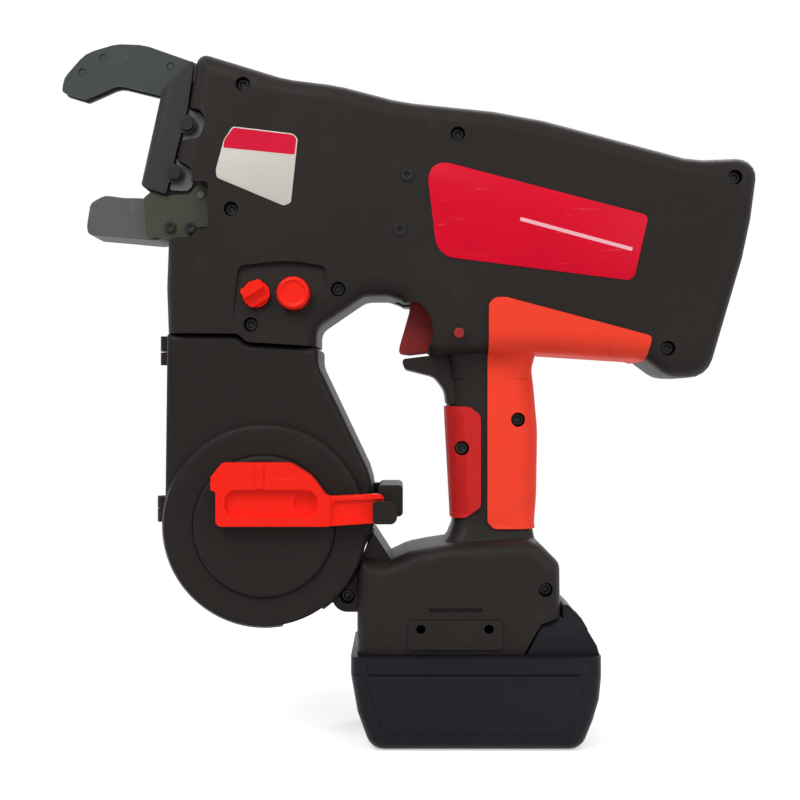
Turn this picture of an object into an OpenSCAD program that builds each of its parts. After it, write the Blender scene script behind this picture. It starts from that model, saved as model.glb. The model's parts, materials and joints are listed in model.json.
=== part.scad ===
// Hand-held rebar tying tool: clamshell body, wire magazine, jaws, feed, twister and slide-on battery.
// The origin is the middle of the battery's underside. +X runs to the rear, +Z up, -Y is the latch side.

/* [Body] */
// Tilt of the tying axis, nose up, in degrees
tilt = 12.5; // [11.5:0.5:13.5]
// Half of the body's width
body_half = 28; // [27:0.5:30]
// Radius that rounds the body's long edges
body_round = 9; // [7:0.5:10]
// Wall of the moulded housing
wall = 3; // [2.4:0.1:3.4]
// Half of the grip's width
grip_half = 17; // [16:0.5:19]
// Half of the foot's width
foot_half = 31; // [30:0.5:33]
// Thickness of the soft grip pads
pad_t = 1.2; // [0.8:0.1:1.6]

/* [Magazine] */
// Radius of the magazine drum
drum_r = 46.3; // [45:0.1:47]
// Depth of the fixed magazine case, from the middle plane
case_depth = 30; // [28:0.5:33]
// Depth of the magazine cover at its neck, from the middle plane
cover_depth = 26; // [25:0.5:28]
// How far the drum face of the cover stands out past the neck
drum_rise = 5; // [3:0.5:6]
// Wall of the magazine
magazine_wall = 2.6; // [2:0.1:3]
// Radius of the turning latch disc
disc_r = 31.8; // [30:0.1:33]
// Radius of the spindle that carries the reel
spindle_r = 8; // [6:0.5:10]
// Radius of the reel's flanges
reel_r = 38; // [35:0.5:40]
// Width of the reel over its flanges
reel_width = 40; // [34:1:44]
// Depth of the wire left on the reel
wire_depth = 6; // [4:1:14]
// Radius of the cover's hinge pins
hinge_pin_r = 1.5; // [1:0.1:2]

/* [Tying unit] */
// Radius of the twisting shaft
shaft_r = 5; // [4:0.5:6]
// Radius of the sliding sleeve
sleeve_r = 10.5; // [9.5:0.5:12]
// Travel of the sleeve
sleeve_travel = 10; // [6:1:12]
// Radius of the tying motor
motor_r = 20; // [18:0.5:21]
// Length of the tying motor
motor_length = 74; // [64:1:80]
// Half of the gap between the two frame plates
frame_gap = 15; // [14.5:0.5:16]
// Thickness of the frame plates
frame_t = 2.5; // [2:0.1:3]
// Half of the upper jaw's width
jaw_half = 6; // [5:0.5:8]
// Radius of the pin that carries the lower jaw
jaw_pin_r = 1.6; // [1.3:0.1:2]

/* [Wire feed] */
// Radius of the feed shafts
feed_shaft_r = 2; // [1.6:0.1:2.4]
// Radius of the feed motor
feed_motor_r = 13; // [11:0.5:14]

/* [Controls] */
// Radius of the release button
button_r = 7.4; // [6.5:0.1:8]
// Travel of the release button
button_travel = 3; // [2:0.5:4]
// Radius of the lock knob's shaft
knob_shaft_r = 3; // [2.5:0.1:3.5]
// Half of the trigger's width
trigger_half = 7.5; // [6.5:0.5:8]
// Radius of the trigger's pin
trigger_pin_r = 2; // [1.5:0.1:2.5]
// Radius of the cross-bolt trigger lock
lock_r = 2.4; // [2:0.1:3]

/* [Battery] */
// Length of the battery
pack_length = 112; // [110:1:116]
// Half of the battery's width
pack_half = 37.5; // [36:0.5:40]
// Height of the plane where battery and foot meet
rail_z = 42; // [41:0.5:44]
// Wall of the battery case
pack_wall = 2.2; // [1.8:0.1:2.4]
// Radius of one battery cell
cell_r = 9.1; // [8.9:0.05:9.2]

/* [Fasteners and fits] */
// Radius of a housing screw's head
screw_head_r = 2.9; // [2.5:0.1:3.2]
// Radius of a housing screw's shank
screw_r = 1.6; // [1.3:0.1:1.8]
// Radius of the two accessory holes in the foot
accessory_r = 2.1; // [1.6:0.1:2.5]
// Distance between the two accessory holes
accessory_spacing = 30.5; // [28:0.5:32]
// Radial clearance of a running shaft or pin
running = 0.08; // [0.05:0.01:0.1]
// Gap between pieces that are fastened together
seat = 0.1; // [0.05:0.05:0.2]
// Gap between pieces that slide past each other
slide = 0.4; // [0.3:0.05:0.5]

/* [Hidden] */
$fn = 48;
far = 500;

charcoal = [0.16, 0.16, 0.17];
pack_black = [0.14, 0.14, 0.17];
orange_red = [0.93, 0.16, 0.08];
pad_red = [0.75, 0.13, 0.11];
dark_red = [0.5, 0.17, 0.16];
jaw_grey = [0.26, 0.28, 0.28];
clip_grey = [0.42, 0.43, 0.43];
steel = [0.62, 0.63, 0.64];
brass = [0.72, 0.58, 0.3];
green = [0.1, 0.35, 0.2];

// Edge rounding of grip, foot and battery, and half of the width of the lug beside the magazine
grip_round = 12;
blend_round = 8;
foot_round = 8;
pack_round = 6;
lug_half = 22;

// Where the tying axis leaves the nose, and places along that axis
nose = [-149, 276];
hook_u = 6;
hook_pin_u = 42;
sleeve_u = 30;
sleeve_length = 30;
block_u = sleeve_u + sleeve_length + sleeve_travel + 2;
gear_u = 112;
gear_length = 40;
motor_u = gear_u + gear_length;

// Gearbox: teeth of sun, planets and ring, tooth module, and the width of the teeth
sun_teeth = 12;
planet_teeth = 18;
ring_teeth = 48;
gear_module = 0.8;
gear_width = 8;
planet_orbit = gear_module * (sun_teeth + planet_teeth) / 2;
planet_count = 3;
case_r = gear_module * ring_teeth / 2 + 3.3;

// Pins, shafts and small fasteners: radii, and the thickness of plates and heads
rivet_r = 1.7;
jaw_bolt_r = 1.8;
cheek_t = 2;
clip_t = 1.9;
hook_pin_r = 1;
planet_pin_r = 2;
carrier_r = planet_orbit + 5;
motor_shaft_r = 2.5;
motor_boss_r = 8;
motor_wall = 2.5;
motor_end = 5;
rotor_r = 11.5;
vent_u = [24, 48];
vent_width = 6;
bearing_r = 9;
bearing_length = 8;
feed_motor_shaft_r = 1.5;
feed_motor_boss_r = 3.3;
disc_pin_r = 4;
disc_snap_r = 6.5;
reel_hub_r = 15;
flange_t = 2.5;
ring_screw_r = 3;
flange_head_r = 2.6;

// Wire feed: wheel teeth, gear teeth, module, places in the middle plane
wheel_teeth = 16;
drive_teeth = 24;
pinion_teeth = 12;
feed_module = 1;
wire_x = -118;
feed_z = 205;
drive_at = [wire_x + feed_module * wheel_teeth / 2, feed_z];
idler_at = [wire_x - feed_module * wheel_teeth / 2, feed_z];
motor_turn = 40;
pinion_at = drive_at + feed_module * (drive_teeth + pinion_teeth) / 2 * [cos(motor_turn), sin(motor_turn)];
lever_at = [-131, 194.5];

// Places in the middle plane, [x, z]
drum_at = [-95, 99.5];
drum_room_r = drum_r + 0.6;
hinge_x = -143.4;
// Hinge knuckles on the case and the cover, [bottom, top, radius]
case_knuckles = [[172.3, 178.3, 3], [99, 105, 4.4]];
cover_knuckles = [[178.7, 185.8, 3], [105.4, 111, 4.4]];
jaw_pin_at = [-124.9, 249.7];
cheek_screws_at = [[-138.8, 234.9], [-129.5, 234.5]];
jaw_pins_at = [[-122, 298], [-117.5, 293.5]];
rivets_at = [[-172.2, 315.4], [-182, 308.6], [-141, 311.5]];
button_at = [-81.8, 203.8];
knob_at = [-98.9, 203.8];
trigger_pin_at = [-21, 205];
lock_at = [-7.6, 186.1];
clip_screws_at = [[16.6, 9.2], [15.8, -13.9]];
gearbox_screws_at = [[-30.8, 257.4], [-34, 232.6]];
// Housing screws, [x, z, outer face beside the head]
screws_at = [
    [-104.8, 298.4, body_half], [-110.2, 242.1, body_half], [-7.9, 275.9, body_half], [-61.9, 206, body_half],
    [-101.2, 190, body_half], [117, 256.5, body_half], [86.8, 179.4, body_half], [31.4, 70.8, foot_half - 1],
    [-57.9, 66.7, lug_half], [-5.6, 133.9, grip_half], [20.1, 147, grip_half]];
accessory_at = [-9.4, 53.3];
foot_slot = [-21, 60.9, 23.8, 1.8];

// Blends of the grip: front and rear of the grip, start height, height, spread to front, rear and side
body_blend = [-12.2, 25.9, 166, 19, 5, 9.5, 10.5];
foot_blend = [-9.4, 27.2, 104, -18, 13, 5, 10];

// Side outlines, [x, z, corner radius], clockwise seen from the latch side
body_side = [
    [-126, 314.5, 5], [-86, 302.3, 40], [-62, 299.3, 60], [-33, 291.8, 60], [20, 286.4, 150], [99, 265.3, 30],
    [129.5, 266.5, 9], [124.5, 229, 120], [106, 166, 12], [88, 166.3, 12], [76, 175.3, 8], [27, 178.5, 20],
    [-20, 176, 6], [-32.5, 200.5, 4], [-39, 203, 6], [-50, 203, 8], [-71.5, 188.3, 6], [-72, 160, 2],
    [-138.6, 160, 2], [-140.3, 207, 30], [-139.5, 229, 20], [-140.1, 249.5, 12], [-130.2, 288.3, 30]];
grip_side = [
    [-18, 196, 3], [30, 196, 3], [25.3, 176, 10], [27, 162, 20], [28.8, 142, 40], [28.3, 112, 50],
    [26.5, 88, 8],
    [26.5, 76, 3], [-9, 76, 3], [-9.5, 104, 30], [-12, 150, 60], [-12.3, 172, 10]];
foot_side = [
    [-53.4, 84.5, 3], [-39.5, 83.2, 5], [-30, 87.6, 12], [-21.5, 89.3, 15], [-12, 90.8, 15],
    [27, 93.2, 8], [38.3, 82, 6], [39, 22, 2], [-53.4, 22, 2]];
pack_side = [
    [-pack_length / 2, 55, 2], [pack_length / 2, 55, 2], [pack_length / 2, 22, 50],
    [pack_length / 2 - 9, 0, 8],
    [9 - pack_length / 2, 0, 8], [-pack_length / 2, 25, 50]];
web_side = [[-52, 97, 1], [-46, 95.8, 1.5], [-38, 83.5, 1], [-38, 70, 1], [-52, 70, 1]];
spur_side = [
    [-33.5, 174.8, 1.5], [-8, 178, 1], [-8, 154.2, 1], [-12.4, 154.2, 1], [-13.2, 160.5, 8], [-18, 166.8, 6],
    [-31.5, 170.2, 2]];
rear_pad_side = [
    [6, 199.5, 3], [9, 202.3, 3], [14, 202.3, 2], [79.5, 184.8, 2], [77.5, 176, 2], [74, 168, 1],
    [45, 168, 1],
    [45, 97, 1], [9, 97, 3], [6, 100, 3]];
front_pad_side = [[-20, 153.7, 1], [-2, 152.8, 4], [3, 149, 4], [3, 107, 3], [-4, 102, 3], [-20, 101.5, 1]];
jaw_side = [
    [-191.5, 299.5, 1.5], [-190.5, 306, 8], [-180.5, 317.5, 14], [-166, 321.8, 12], [-153, 321.3, 15],
    [-128, 312.5, 3], [-112, 304, 3], [-109.5, 288, 3], [-136, 292.5, 3], [-144.4, 297.9, 3],
    [-165.6, 303.1, 8],
    [-181, 296.3, 1.5]];
core_side = [
    [-188, 302.5, 1.5], [-187.5, 306, 6], [-179, 315.5, 12], [-166, 319, 12], [-153, 318.5, 15],
    [-128, 310.5, 3],
    [-112.5, 303, 3], [-110, 288.5, 3], [-135.5, 294.5, 3], [-143.5, 300.3, 3], [-165.6, 306, 8],
    [-181, 299.6, 1.5]];
lower_jaw_side = [
    [-178.4, 236, 3], [-176.5, 246.6, 4], [-170, 250.2, 6], [-161, 249, 10], [-150, 248.6, 3],
    [-129, 253.6, 3.5],
    [-121.2, 253.6, 3.5], [-121.2, 246, 3.5], [-131, 240, 4], [-145, 229.2, 6], [-177.5, 232, 3]];
lower_jaw_groove = [
    [-182, 270, 1], [-100, 270, 1], [-100, 243, 1], [-132, 243, 3], [-145, 233.5, 5], [-170, 235.8, 6]];
cheek_side = [
    [-150.8, 248.3, 1], [-147.5, 251.2, 1], [-141, 249.1, 3], [-129.5, 250, 3], [-127.8, 253.6, 3.5],
    [-121.3, 253.6, 3.5], [-121.3, 235, 1], [-126.8, 234.5, 1.5], [-128.6, 231.2, 1.5], [-131.4, 230.1, 1.5],
    [-150, 230.3, 2]];
cheek_notch = [
    [-170, 254.6, 1], [-120.6, 254.6, 2], [-120.6, 233.6, 1], [-125.6, 233, 1.5], [-128, 229.4, 2],
    [-170, 228.6, 1]];
seam_side = [
    [-170, 186.4, 1], [-107.3, 186, 3], [-103.1, 182.2, 3], [-60, 179.5, 1], [-60, 120, 1], [-170, 120, 1]];
trigger_side = [
    [-29, 209, 4], [-15.5, 209, 4], [-14, 200, 3], [-15.5, 178.6, 2], [-29.5, 177, 2], [-34.6, 177.6, 3],
    [-34.2, 181, 3], [-29.6, 197, 8]];
neck_side = [
    [-139.6, 186, 1], [-107.3, 185.6, 3], [-103.1, 181.8, 3], [-71, 179.8, 2], [-71, 172, 10],
    [-47.2, 122, 20],
    [-44.4, 100, 20], [-60, 70, 10], [-95, 90, 1], [-140.6, 99.5, 1]];
lever_side = [
    [-117.6, 116.2, 0.8], [-117.6, 122, 2], [-112.5, 128.3, 2], [-82.4, 128.3, 5], [-73, 122.6, 10],
    [-66.2, 113.4, 4],
    [-40.6, 114.6, 3], [-42, 101.8, 2], [-67, 100.1, 5], [-114, 100.1, 2], [-115.4, 101.9, 2],
    [-115.4, 115.4, 0.8]];
bracket_side = [
    [-128, 222.5, 3], [-74, 222.5, 3], [-74, 196.5, 2], [-107.5, 196.5, 2], [-107.5, 190.5, 2],
    [-135.5, 190.5, 2],
    [-135.5, 212, 3]];
panel_side = [
    [-107, 216.5, 4], [-84, 219, 30], [-67.5, 216.3, 3], [-66.5, 207, 8], [-76, 195.5, 8], [-109.7, 191, 4]];
finger_room_at = [-35.6, 187.5];
finger_room_r = 16.5;
trigger_pocket = [
    [-31, 210.5, 1], [-8, 210.5, 1], [-8, 177.9, 1], [-45, 173.3, 1], [-45, 200, 1], [-31, 203.5, 1]];
foot_cut = [
    [-100, rail_z, 1], [21.6, rail_z, 1], [29.3, 55.6, 3], [35.2, 57.4, 3], [60, 57.4, 1], [60, 10, 1],
    [-100, 10, 1]];
accessory_side = [[-30.4, 57.3, 2], [12.2, 57.3, 2], [12.2, 44, 2], [-30.4, 44, 2]];
hump_side = [
    [22.4, 41, 1], [30, 55, 3], [35.6, 56.8, 2], [39.7, 56.8, 0.5], [39.7, 65.5, 2], [46.8, 58.5, 3],
    [54.3, 45.8, 3], [55.5, 41, 1]];
post_side = [[-43.8, 118, 2], [-32.7, 118, 2], [-32.7, 104, 2], [-43.8, 104, 2]];
pocket_side = [[-111.5, 116.4, 5], [-70.5, 116.4, 5], [-70.5, 104, 5], [-111.5, 104, 5]];
finger_at = [-75.9, 110.2];
finger_r = 5.2;
rib_x = -96;
channel_side = [[-64, 111.4, 1.5], [-40, 112.4, 1.5], [-40, 104, 1.5], [-64, 102.4, 1.5]];
tip_side = [[-46, 111.6, 2], [-35.3, 110.8, 3], [-35.3, 101.3, 3], [-46, 101.3, 2]];

// Depths measured from the middle plane
guard_half = frame_gap + frame_t + seat + 3.9;
panel_floor = body_half - 2.5;
panel_t = 2.9;
knob_r = 6.2;
bracket_front = panel_floor - panel_t - 2.3 - button_travel - 3.3;
bracket_back = 9;
bracket_t = 2;
bracket_posts = [[-124, 219.5], [-79, 200]];
switch_half = 9;
cover_gap = 0.15;
drum_face = cover_depth + drum_rise;
disc_floor = drum_face - 1.1;
disc_face = drum_face + 3;
lever_face = disc_face + 7;
arm_face = disc_face + 5.6;
rail_half = 20.4;
lip_t = 2.6;
hump_half = 31;
cell_pitch = 2 * cell_r + 0.4;
cell_half = pack_half - pack_wall - 4.3;
// As many cells as fit between the battery's sloped ends
cells_in_row = floor((pack_length - 2 * (pack_wall + 5)) / cell_pitch);
tab_t = 3;
board_z = 62;
board_t = 1.6;
seam_z = 34;
hook_y = 3.2;

// Outlines in the tying axis's own frame, [along, up, corner radius]
frame_side = [
    [4, 20, 2], [17, 32, 2], [30, 32, 3], [33.5, 19, 4], [block_u + 10, 19, 3], [block_u + 10, -19, 3],
    [37, -19, 4],
    [34, -42, 4], [15, -42, 4], [4, -20, 3]];
guard_side = [[1, 21.3, 3], [13.4, 39.5, 1], [15.2, 16.5, 10], [14, -24, 1], [1, -22.5, 3]];
upper_clip = [
    [15.4, 16.9, 0.6], [17.5, 15.9, 1], [21.2, 15.9, 3], [25.2, 12.2, 4], [24.2, 3.8, 3], [15.4, 1.4, 1]];
lower_clip = [
    [14.8, -5.6, 0.6], [16.5, -8.5, 1], [22.6, -10.4, 4], [24.6, -13, 3], [24.6, -20, 4], [14.8, -21.6, 1]];

// Unit vector, left normal and cross product of plane vectors
function unit(v) = v / norm(v);
function left_of(d) = [-d[1], d[0]];
function cross2(a, b) = a[0] * b[1] - a[1] * b[0];
function flat(p) = [p[0], p[1]];
function before(pts, i) = pts[(i + len(pts) - 1) % len(pts)];
function after(pts, i) = pts[(i + 1) % len(pts)];
function way_in(pts, i) = unit(flat(pts[i]) - flat(before(pts, i)));
function way_out(pts, i) = unit(flat(after(pts, i)) - flat(pts[i]));

// A clockwise outline moved inwards by t, its convex corners sharper and its hollow ones rounder
function inset(pts, t) = [
    for (i = [0 : len(pts) - 1])
        let (
            n1 = -left_of(way_in(pts, i)),
            n2 = -left_of(way_out(pts, i)),
            p = flat(pts[i]) + (n1 + n2) * t / (1 + n1 * n2),
            hollow = cross2(way_in(pts, i), way_out(pts, i)) > 0
        )
        [p[0], p[1], hollow ? max(pts[i][2] + t, 0.4) : max(pts[i][2] - t, 0.4)]];

// The points of an outline with its corners drawn as arcs, one step for each 20 degrees of turn
function rounded(pts) = [
    for (i = [0 : len(pts) - 1])
        let (
            d1 = way_in(pts, i),
            d2 = way_out(pts, i),
            turn = acos(max(-1, min(1, d1 * d2))),
            side = sign(cross2(d1, d2)),
            room = min(norm(flat(pts[i]) - flat(before(pts, i))), norm(flat(after(pts, i)) - flat(pts[i]))),
            reach = min(pts[i][2] * tan(turn / 2), 0.48 * room),
            r = reach / tan(turn / 2),
            start = flat(pts[i]) - d1 * reach,
            steps = max(1, ceil(turn / 20))
        )
        for (k = [0 : steps])
            start + side * left_of(d1) * r * (1 - cos(turn * k / steps)) + d1 * r * sin(turn * k / steps)];

// The corners of a spur gear's teeth: radius of root and tip, and half widths as shares of the tooth pitch
function teeth(count, root, tip, root_share, tip_share) = [
    for (i = [0 : count - 1])
        for (corner = [[root, -root_share], [tip, -tip_share], [tip, tip_share], [root, root_share]])
            let (a = 360 / count * (i + corner[1]))
            corner[0] * [cos(a), sin(a)]];

module loft(levels) {
    count = len(levels[0][1]);
    last = len(levels) - 1;
    points = [for (level = levels) for (p = level[1]) [p[0], level[0], p[1]]];
    far_cap = [for (i = [count - 1 : -1 : 0]) i];
    near_cap = [for (i = [0 : count - 1]) last * count + i];
    walls = [
        for (k = [0 : last - 1])
            for (i = [0 : count - 1])
                let (j = (i + 1) % count)
                for (face = [
                    [k * count + i, k * count + j, (k + 1) * count + j],
                    [k * count + i, (k + 1) * count + j, (k + 1) * count + i]])
                    face];
    polyhedron(points, concat([far_cap, near_cap], walls));
}

// Half of a moulding on the latch side: outline, half width, edge rounding, all moved in by t
module half_moulding(pts, half, edge, t = 0, over = 0, step = 22.5) {
    r = max(edge - t, 1);
    face = half - t;
    last = 90 - step;
    // [depth, inset] of each ring, the outermost a little past the face, which is then trimmed flat
    curve = [for (a = [0 : step : last]) [face - r + r * sin(a), t + r - r * cos(a)]];
    edge_slope = [r - r * sin(last), r * cos(last)];
    outermost = curve[len(curve) - 1] + 1.15 * edge_slope;
    rings = [for (ring = concat([[-over, t]], curve, [outermost])) [-ring[0], rounded(inset(pts, ring[1]))]];
    intersection() {
        loft(rings);
        translate([-far / 2, -face, -far / 2])
            cube([far, far, 2 * far]);
    }
}

// A whole moulding with both long edges rounded
module full_moulding(pts, half, edge, t = 0, step = 22.5) {
    r = max(edge - t, 1);
    flat_to = half - t - r;
    right = [for (a = [90 : -step : 0]) [flat_to + r * sin(a), rounded(inset(pts, t + r * (1 - cos(a))))]];
    left = [for (a = [0 : step : 90]) [-flat_to - r * sin(a), rounded(inset(pts, t + r * (1 - cos(a))))]];
    loft(concat(right, left));
}

module half_body(t = 0, over = 3, step = 22.5) {
    half_moulding(body_side, body_half, body_round, t, over, step);
}

module half_grip(t = 0, over = 2, step = 22.5) {
    half_moulding(grip_side, grip_half, grip_round, t, over, step);
}

// The hollow curve by which the grip widens into the body or the foot, from the top ring down
module half_blend(b, t = 0, over = 2) {
    grow = sign(b[3]);
    angles = [for (a = [0 : 18 : 90]) grow > 0 ? 90 - a : a];
    rings = [
        for (a = angles)
            let (
                z = b[2] + b[3] * sin(a) + grow * t * sin(a),
                spread = 1 - cos(a),
                skin = t * cos(a) + 0.4 * cos(a),
                front = b[0] - b[4] * spread + skin,
                rear = b[1] + b[5] * spread - skin,
                side = grip_half + b[6] * spread - skin
            )
            [z, rounded([
                [front, side, blend_round - t], [rear, side, blend_round - t], [rear, -over, 1],
                [front, -over, 1]])]];
    rotate([90, 0, 0])
        loft(rings);
}

module half_blends(t = 0, over = 2) {
    half_blend(body_blend, t, over);
    half_blend(foot_blend, t, over);
}

module half_foot(t = 0, over = 1, step = 22.5) {
    half_moulding(foot_side, foot_half, foot_round, t, over, step);
}

module latch_side() {
    intersection() {
        children();
        translate([-far / 2, -far, -far / 2])
            cube([far, far, 2 * far]);
    }
}

module other_side() {
    mirror([0, 1, 0])
        children();
}

module both_sides() {
    children();
    other_side()
        children();
}

module prism(pts, y0, y1) {
    translate([0, y1, 0])
        rotate([90, 0, 0])
            linear_extrude(y1 - y0)
                polygon(rounded(pts));
}

module cross_rod(at, r, y0, y1) {
    translate([at[0], y0, at[1]])
        rotate([-90, 0, 0])
            cylinder(r = r, h = y1 - y0);
}

module along_axis() {
    translate([nose[0], 0, nose[1]])
        rotate([0, tilt, 0])
            children();
}

module axis_rod(r, u0, u1) {
    along_axis()
        translate([u0, 0, 0])
            rotate([0, 90, 0])
                cylinder(r = r, h = u1 - u0);
}

module gear(count, module_size, width) {
    r = count * module_size / 2;
    linear_extrude(width)
        polygon(teeth(count, r - 1.15 * module_size, r + 0.85 * module_size, 0.29, 0.12));
}

// A round wire wound into a compression spring along +Z
module coil(r, wire, turns, length) {
    sides = 6;
    rings = 8 * turns;
    points = [
        for (k = [0 : rings])
            for (j = [0 : sides - 1])
                let (a = 360 * k / 8, b = 360 * j / sides, q = r + wire / 2 * cos(b))
                [q * cos(a), q * sin(a), wire / 2 + (length - wire) * k / rings + wire / 2 * sin(b)]];
    skin = [
        for (k = [0 : rings - 1])
            for (j = [0 : sides - 1])
                let (i = (j + 1) % sides)
                for (face = [
                    [k * sides + j, (k + 1) * sides + j, (k + 1) * sides + i],
                    [k * sides + j, (k + 1) * sides + i, k * sides + i]])
                    face];
    start = [for (j = [0 : sides - 1]) j];
    end = [for (j = [sides - 1 : -1 : 0]) rings * sides + j];
    polyhedron(points, concat([start, end], skin));
}

// A box in the tying axis's frame
module axis_box(u0, u1, half_y, w0, w1) {
    along_axis()
        translate([u0, -half_y, w0])
            cube([u1 - u0, 2 * half_y, w1 - w0]);
}

module axis_prism(pts, y0, y1) {
    along_axis()
        prism(pts, y0, y1);
}

module half_skin(t = 0) {
    half_body(t);
    half_grip(t);
    half_foot(t);
    half_blends(t);
}

module half_hollow() {
    half_body(wall, 6, 45);
    half_grip(wall - 0.5, 5, 45);
    half_blends(wall - 0.3, 4);
    difference() {
        half_foot(wall, 4, 45);
        cross_rod(drum_at, drum_room_r + wall - 0.5, -far, far);
    }
}

module half_ribs() {
    for (rib = [[gear_u + 22, case_r], [motor_u + 12, motor_r], [motor_u + motor_length - 14, motor_r]])
        difference() {
            axis_box(rib[0], rib[0] + wall, body_half - 1, -27, 27);
            axis_rod(rib[1] + seat, rib[0] - 1, rib[0] + wall + 1);
        }
    // pads that hold the frame, and the trigger switch
    along_axis()
        translate([54, -body_half + 1, -8])
            cube([14, body_half - 1 - frame_gap - frame_t - seat, 16]);
    translate([0, -body_half + 1, 184])
        cube([12, body_half - 1 - switch_half - seat, 12]);
    // shelf for the control board
    translate([-44, -foot_half + 2, board_z - board_t - seat])
        cube([66, 5, board_t]);
    // rail lip that carries the battery
    translate([-50.5, -foot_half + 2, rail_z])
        cube([69, foot_half - 2 - rail_half - slide, lip_t]);
}

module half_boss(screw) {
    cross_rod(screw, screw_head_r + 1.8, -screw[2] + 1.5, 1);
}

// The lug and web beside the magazine drum, with room for the magazine's own tab in the middle
module half_lug() {
    difference() {
        union() {
            prism(web_side, -lug_half, 1);
            cross_rod([screws_at[8][0], screws_at[8][1]], 7, -lug_half, 1);
            translate([screws_at[8][0], -lug_half, screws_at[8][1] - 7])
                cube([8, lug_half + 1, 20]);
        }
        magazine_prism(drum_r - drum_room_r, -far, far);
    }
}

module half_cuts() {
    // magazine seam, foot underside with its sloped rear corner, room for the drum
    prism(seam_side, -far, far);
    prism(foot_cut, -far, far);
    cross_rod(drum_at, drum_room_r, -far, far);
    // nose opening, jaw slot and room for the lower jaw's swing
    axis_box(0, 24, frame_gap + frame_t + seat, -50, 33);
    prism(inset(jaw_side, -0.3), -jaw_half - 0.3, jaw_half + 0.3);
    translate([-160, -frame_gap - frame_t - slide, 218])
        cube([36, 2 * (frame_gap + frame_t + slide), 40]);
    // side notches round the clips and the jaw cheeks
    axis_prism(inset(upper_clip, -0.5), -far, -frame_gap);
    axis_prism(inset(lower_clip, -0.5), -far, -frame_gap);
    prism(cheek_notch, -far, -frame_gap);
    // trigger pocket and its open sides, trigger pin and cross bolt
    prism(trigger_pocket, -trigger_half - slide, trigger_half + slide);
    intersection() {
        cross_rod(finger_room_at, finger_room_r, -far, far);
        translate([-60, -far / 2, 175.2])
            cube([60, far, 25]);
    }
    cross_rod(trigger_pin_at, trigger_pin_r + seat / 2, -trigger_half - 5, 1);
    cross_rod(lock_at, lock_r + running, -far, 1);
}

module half_housing() {
    difference() {
        latch_side()
            difference() {
                union() {
                    half_skin();
                    half_lug();
                }
                half_hollow();
            }
        half_cuts();
    }
    difference() {
        latch_side()
            union() {
                half_ribs();
                for (screw = screws_at)
                    if (screw[2] != grip_half)
                        half_boss(screw);
                // the bosses in the slim grip stay inside its wall
                intersection() {
                    half_grip(wall / 2, 7);
                    for (screw = screws_at)
                        if (screw[2] == grip_half)
                            half_boss(screw);
                }
                cross_rod(trigger_pin_at, 5, -body_half + 1, -trigger_half - slide);
            }
        cross_rod(trigger_pin_at, trigger_pin_r + seat / 2, -trigger_half - 5, 1);
        prism(foot_cut, -far, far);
        prism(seam_side, -far, far);
        cross_rod(drum_at, drum_room_r, -far, far);
        // room for the feed gear beside a boss
        cross_rod(drive_at, feed_module * (drive_teeth / 2 + 1) + slide, -bracket_front, bracket_back);
    }
    latch_side()
        prism(spur_side, -13, 1);
}

// The control panel's recess, deepest along its upper edge
module control_panel() {
    intersection() {
        prism(panel_side, -far, -panel_floor);
        translate([-120, 0, 0])
            rotate([90, 0, 90])
                linear_extrude(70)
                    polygon([
                        [-body_half - 20, 190], [-body_half, 190], [-panel_floor, 218], [-panel_floor, 230],
                        [-body_half - 20, 230]]);
    }
}

module housing_left() {
    color(charcoal)
        difference() {
            union() {
                half_housing();
                // thicker floor behind the control panel
                prism(panel_side, -body_half + 2, -panel_floor + panel_t);
            }
            for (screw = screws_at) {
                cross_rod(screw, screw_head_r + slide, -far, -screw[2] + 6);
                cross_rod(screw, screw_r + seat, -far, 1);
            }
            for (screw = gearbox_screws_at) {
                cross_rod(screw, ring_screw_r + seat, -far, -body_half + 3);
                cross_rod(screw, screw_r + seat, -far, 1);
            }
            control_panel();
            cross_rod(button_at, button_r + 0.25, -far, -10);
            cross_rod(knob_at, knob_shaft_r + running, -far, -10);
            cross_rod(knob_at, knob_r + slide, -far, -panel_floor);
            prism(inset(accessory_side, -seat), -far, -foot_half + 1.5);
            translate([foot_slot[0], -foot_half - 1, foot_slot[1]])
                cube([foot_slot[2], 2.2, foot_slot[3]]);
            for (k = [-1, 1])
                cross_rod(accessory_at + [k * accessory_spacing / 2, 0], accessory_r + 0.5, -far,
                    -foot_half + 5);
        }
}

module housing_right() {
    color(charcoal)
        difference() {
            union() {
                other_side()
                    half_housing();
                // posts that carry the feed bracket
                for (at = bracket_posts)
                    cross_rod(at, 3.5, bracket_back + seat, body_half - 1);
            }
            for (screw = screws_at)
                cross_rod(screw, screw_r + seat / 2, -1, 11);
            // room for the magazine's tab in the lug
            translate([screws_at[8][0] - 10, -1, screws_at[8][1] - 10])
                cube([16, tab_t + 1 + seat, 30]);
        }
}

// The surface that a pad follows: the grip, and for the rear pad the body above it
module pad_base(t, over, on_body) {
    half_grip(t, over);
    half_blend(foot_blend, t, over);
    if (on_body) {
        half_body(t, over);
        half_blend(body_blend, t, over);
    }
}

module pads(side, on_body) {
    both_sides()
        difference() {
            latch_side()
                intersection() {
                    pad_base(-pad_t, 2, on_body);
                    prism(side, -far, far);
                }
            pad_base(-seat / 2, 5, on_body);
            for (screw = screws_at)
                cross_rod(screw, screw_head_r + slide, -far, 1);
        }
}

module rear_pad() {
    color(orange_red)
        pads(rear_pad_side, true);
}

module front_pad() {
    color(pad_red)
        pads(front_pad_side, false);
}

module housing_screws() {
    color(steel)
        for (screw = screws_at) {
            cross_rod(screw, screw_head_r, -screw[2] + 3, -screw[2] + 6 - seat);
            cross_rod(screw, screw_r, -screw[2] + 5, 10.5);
        }
}

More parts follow.
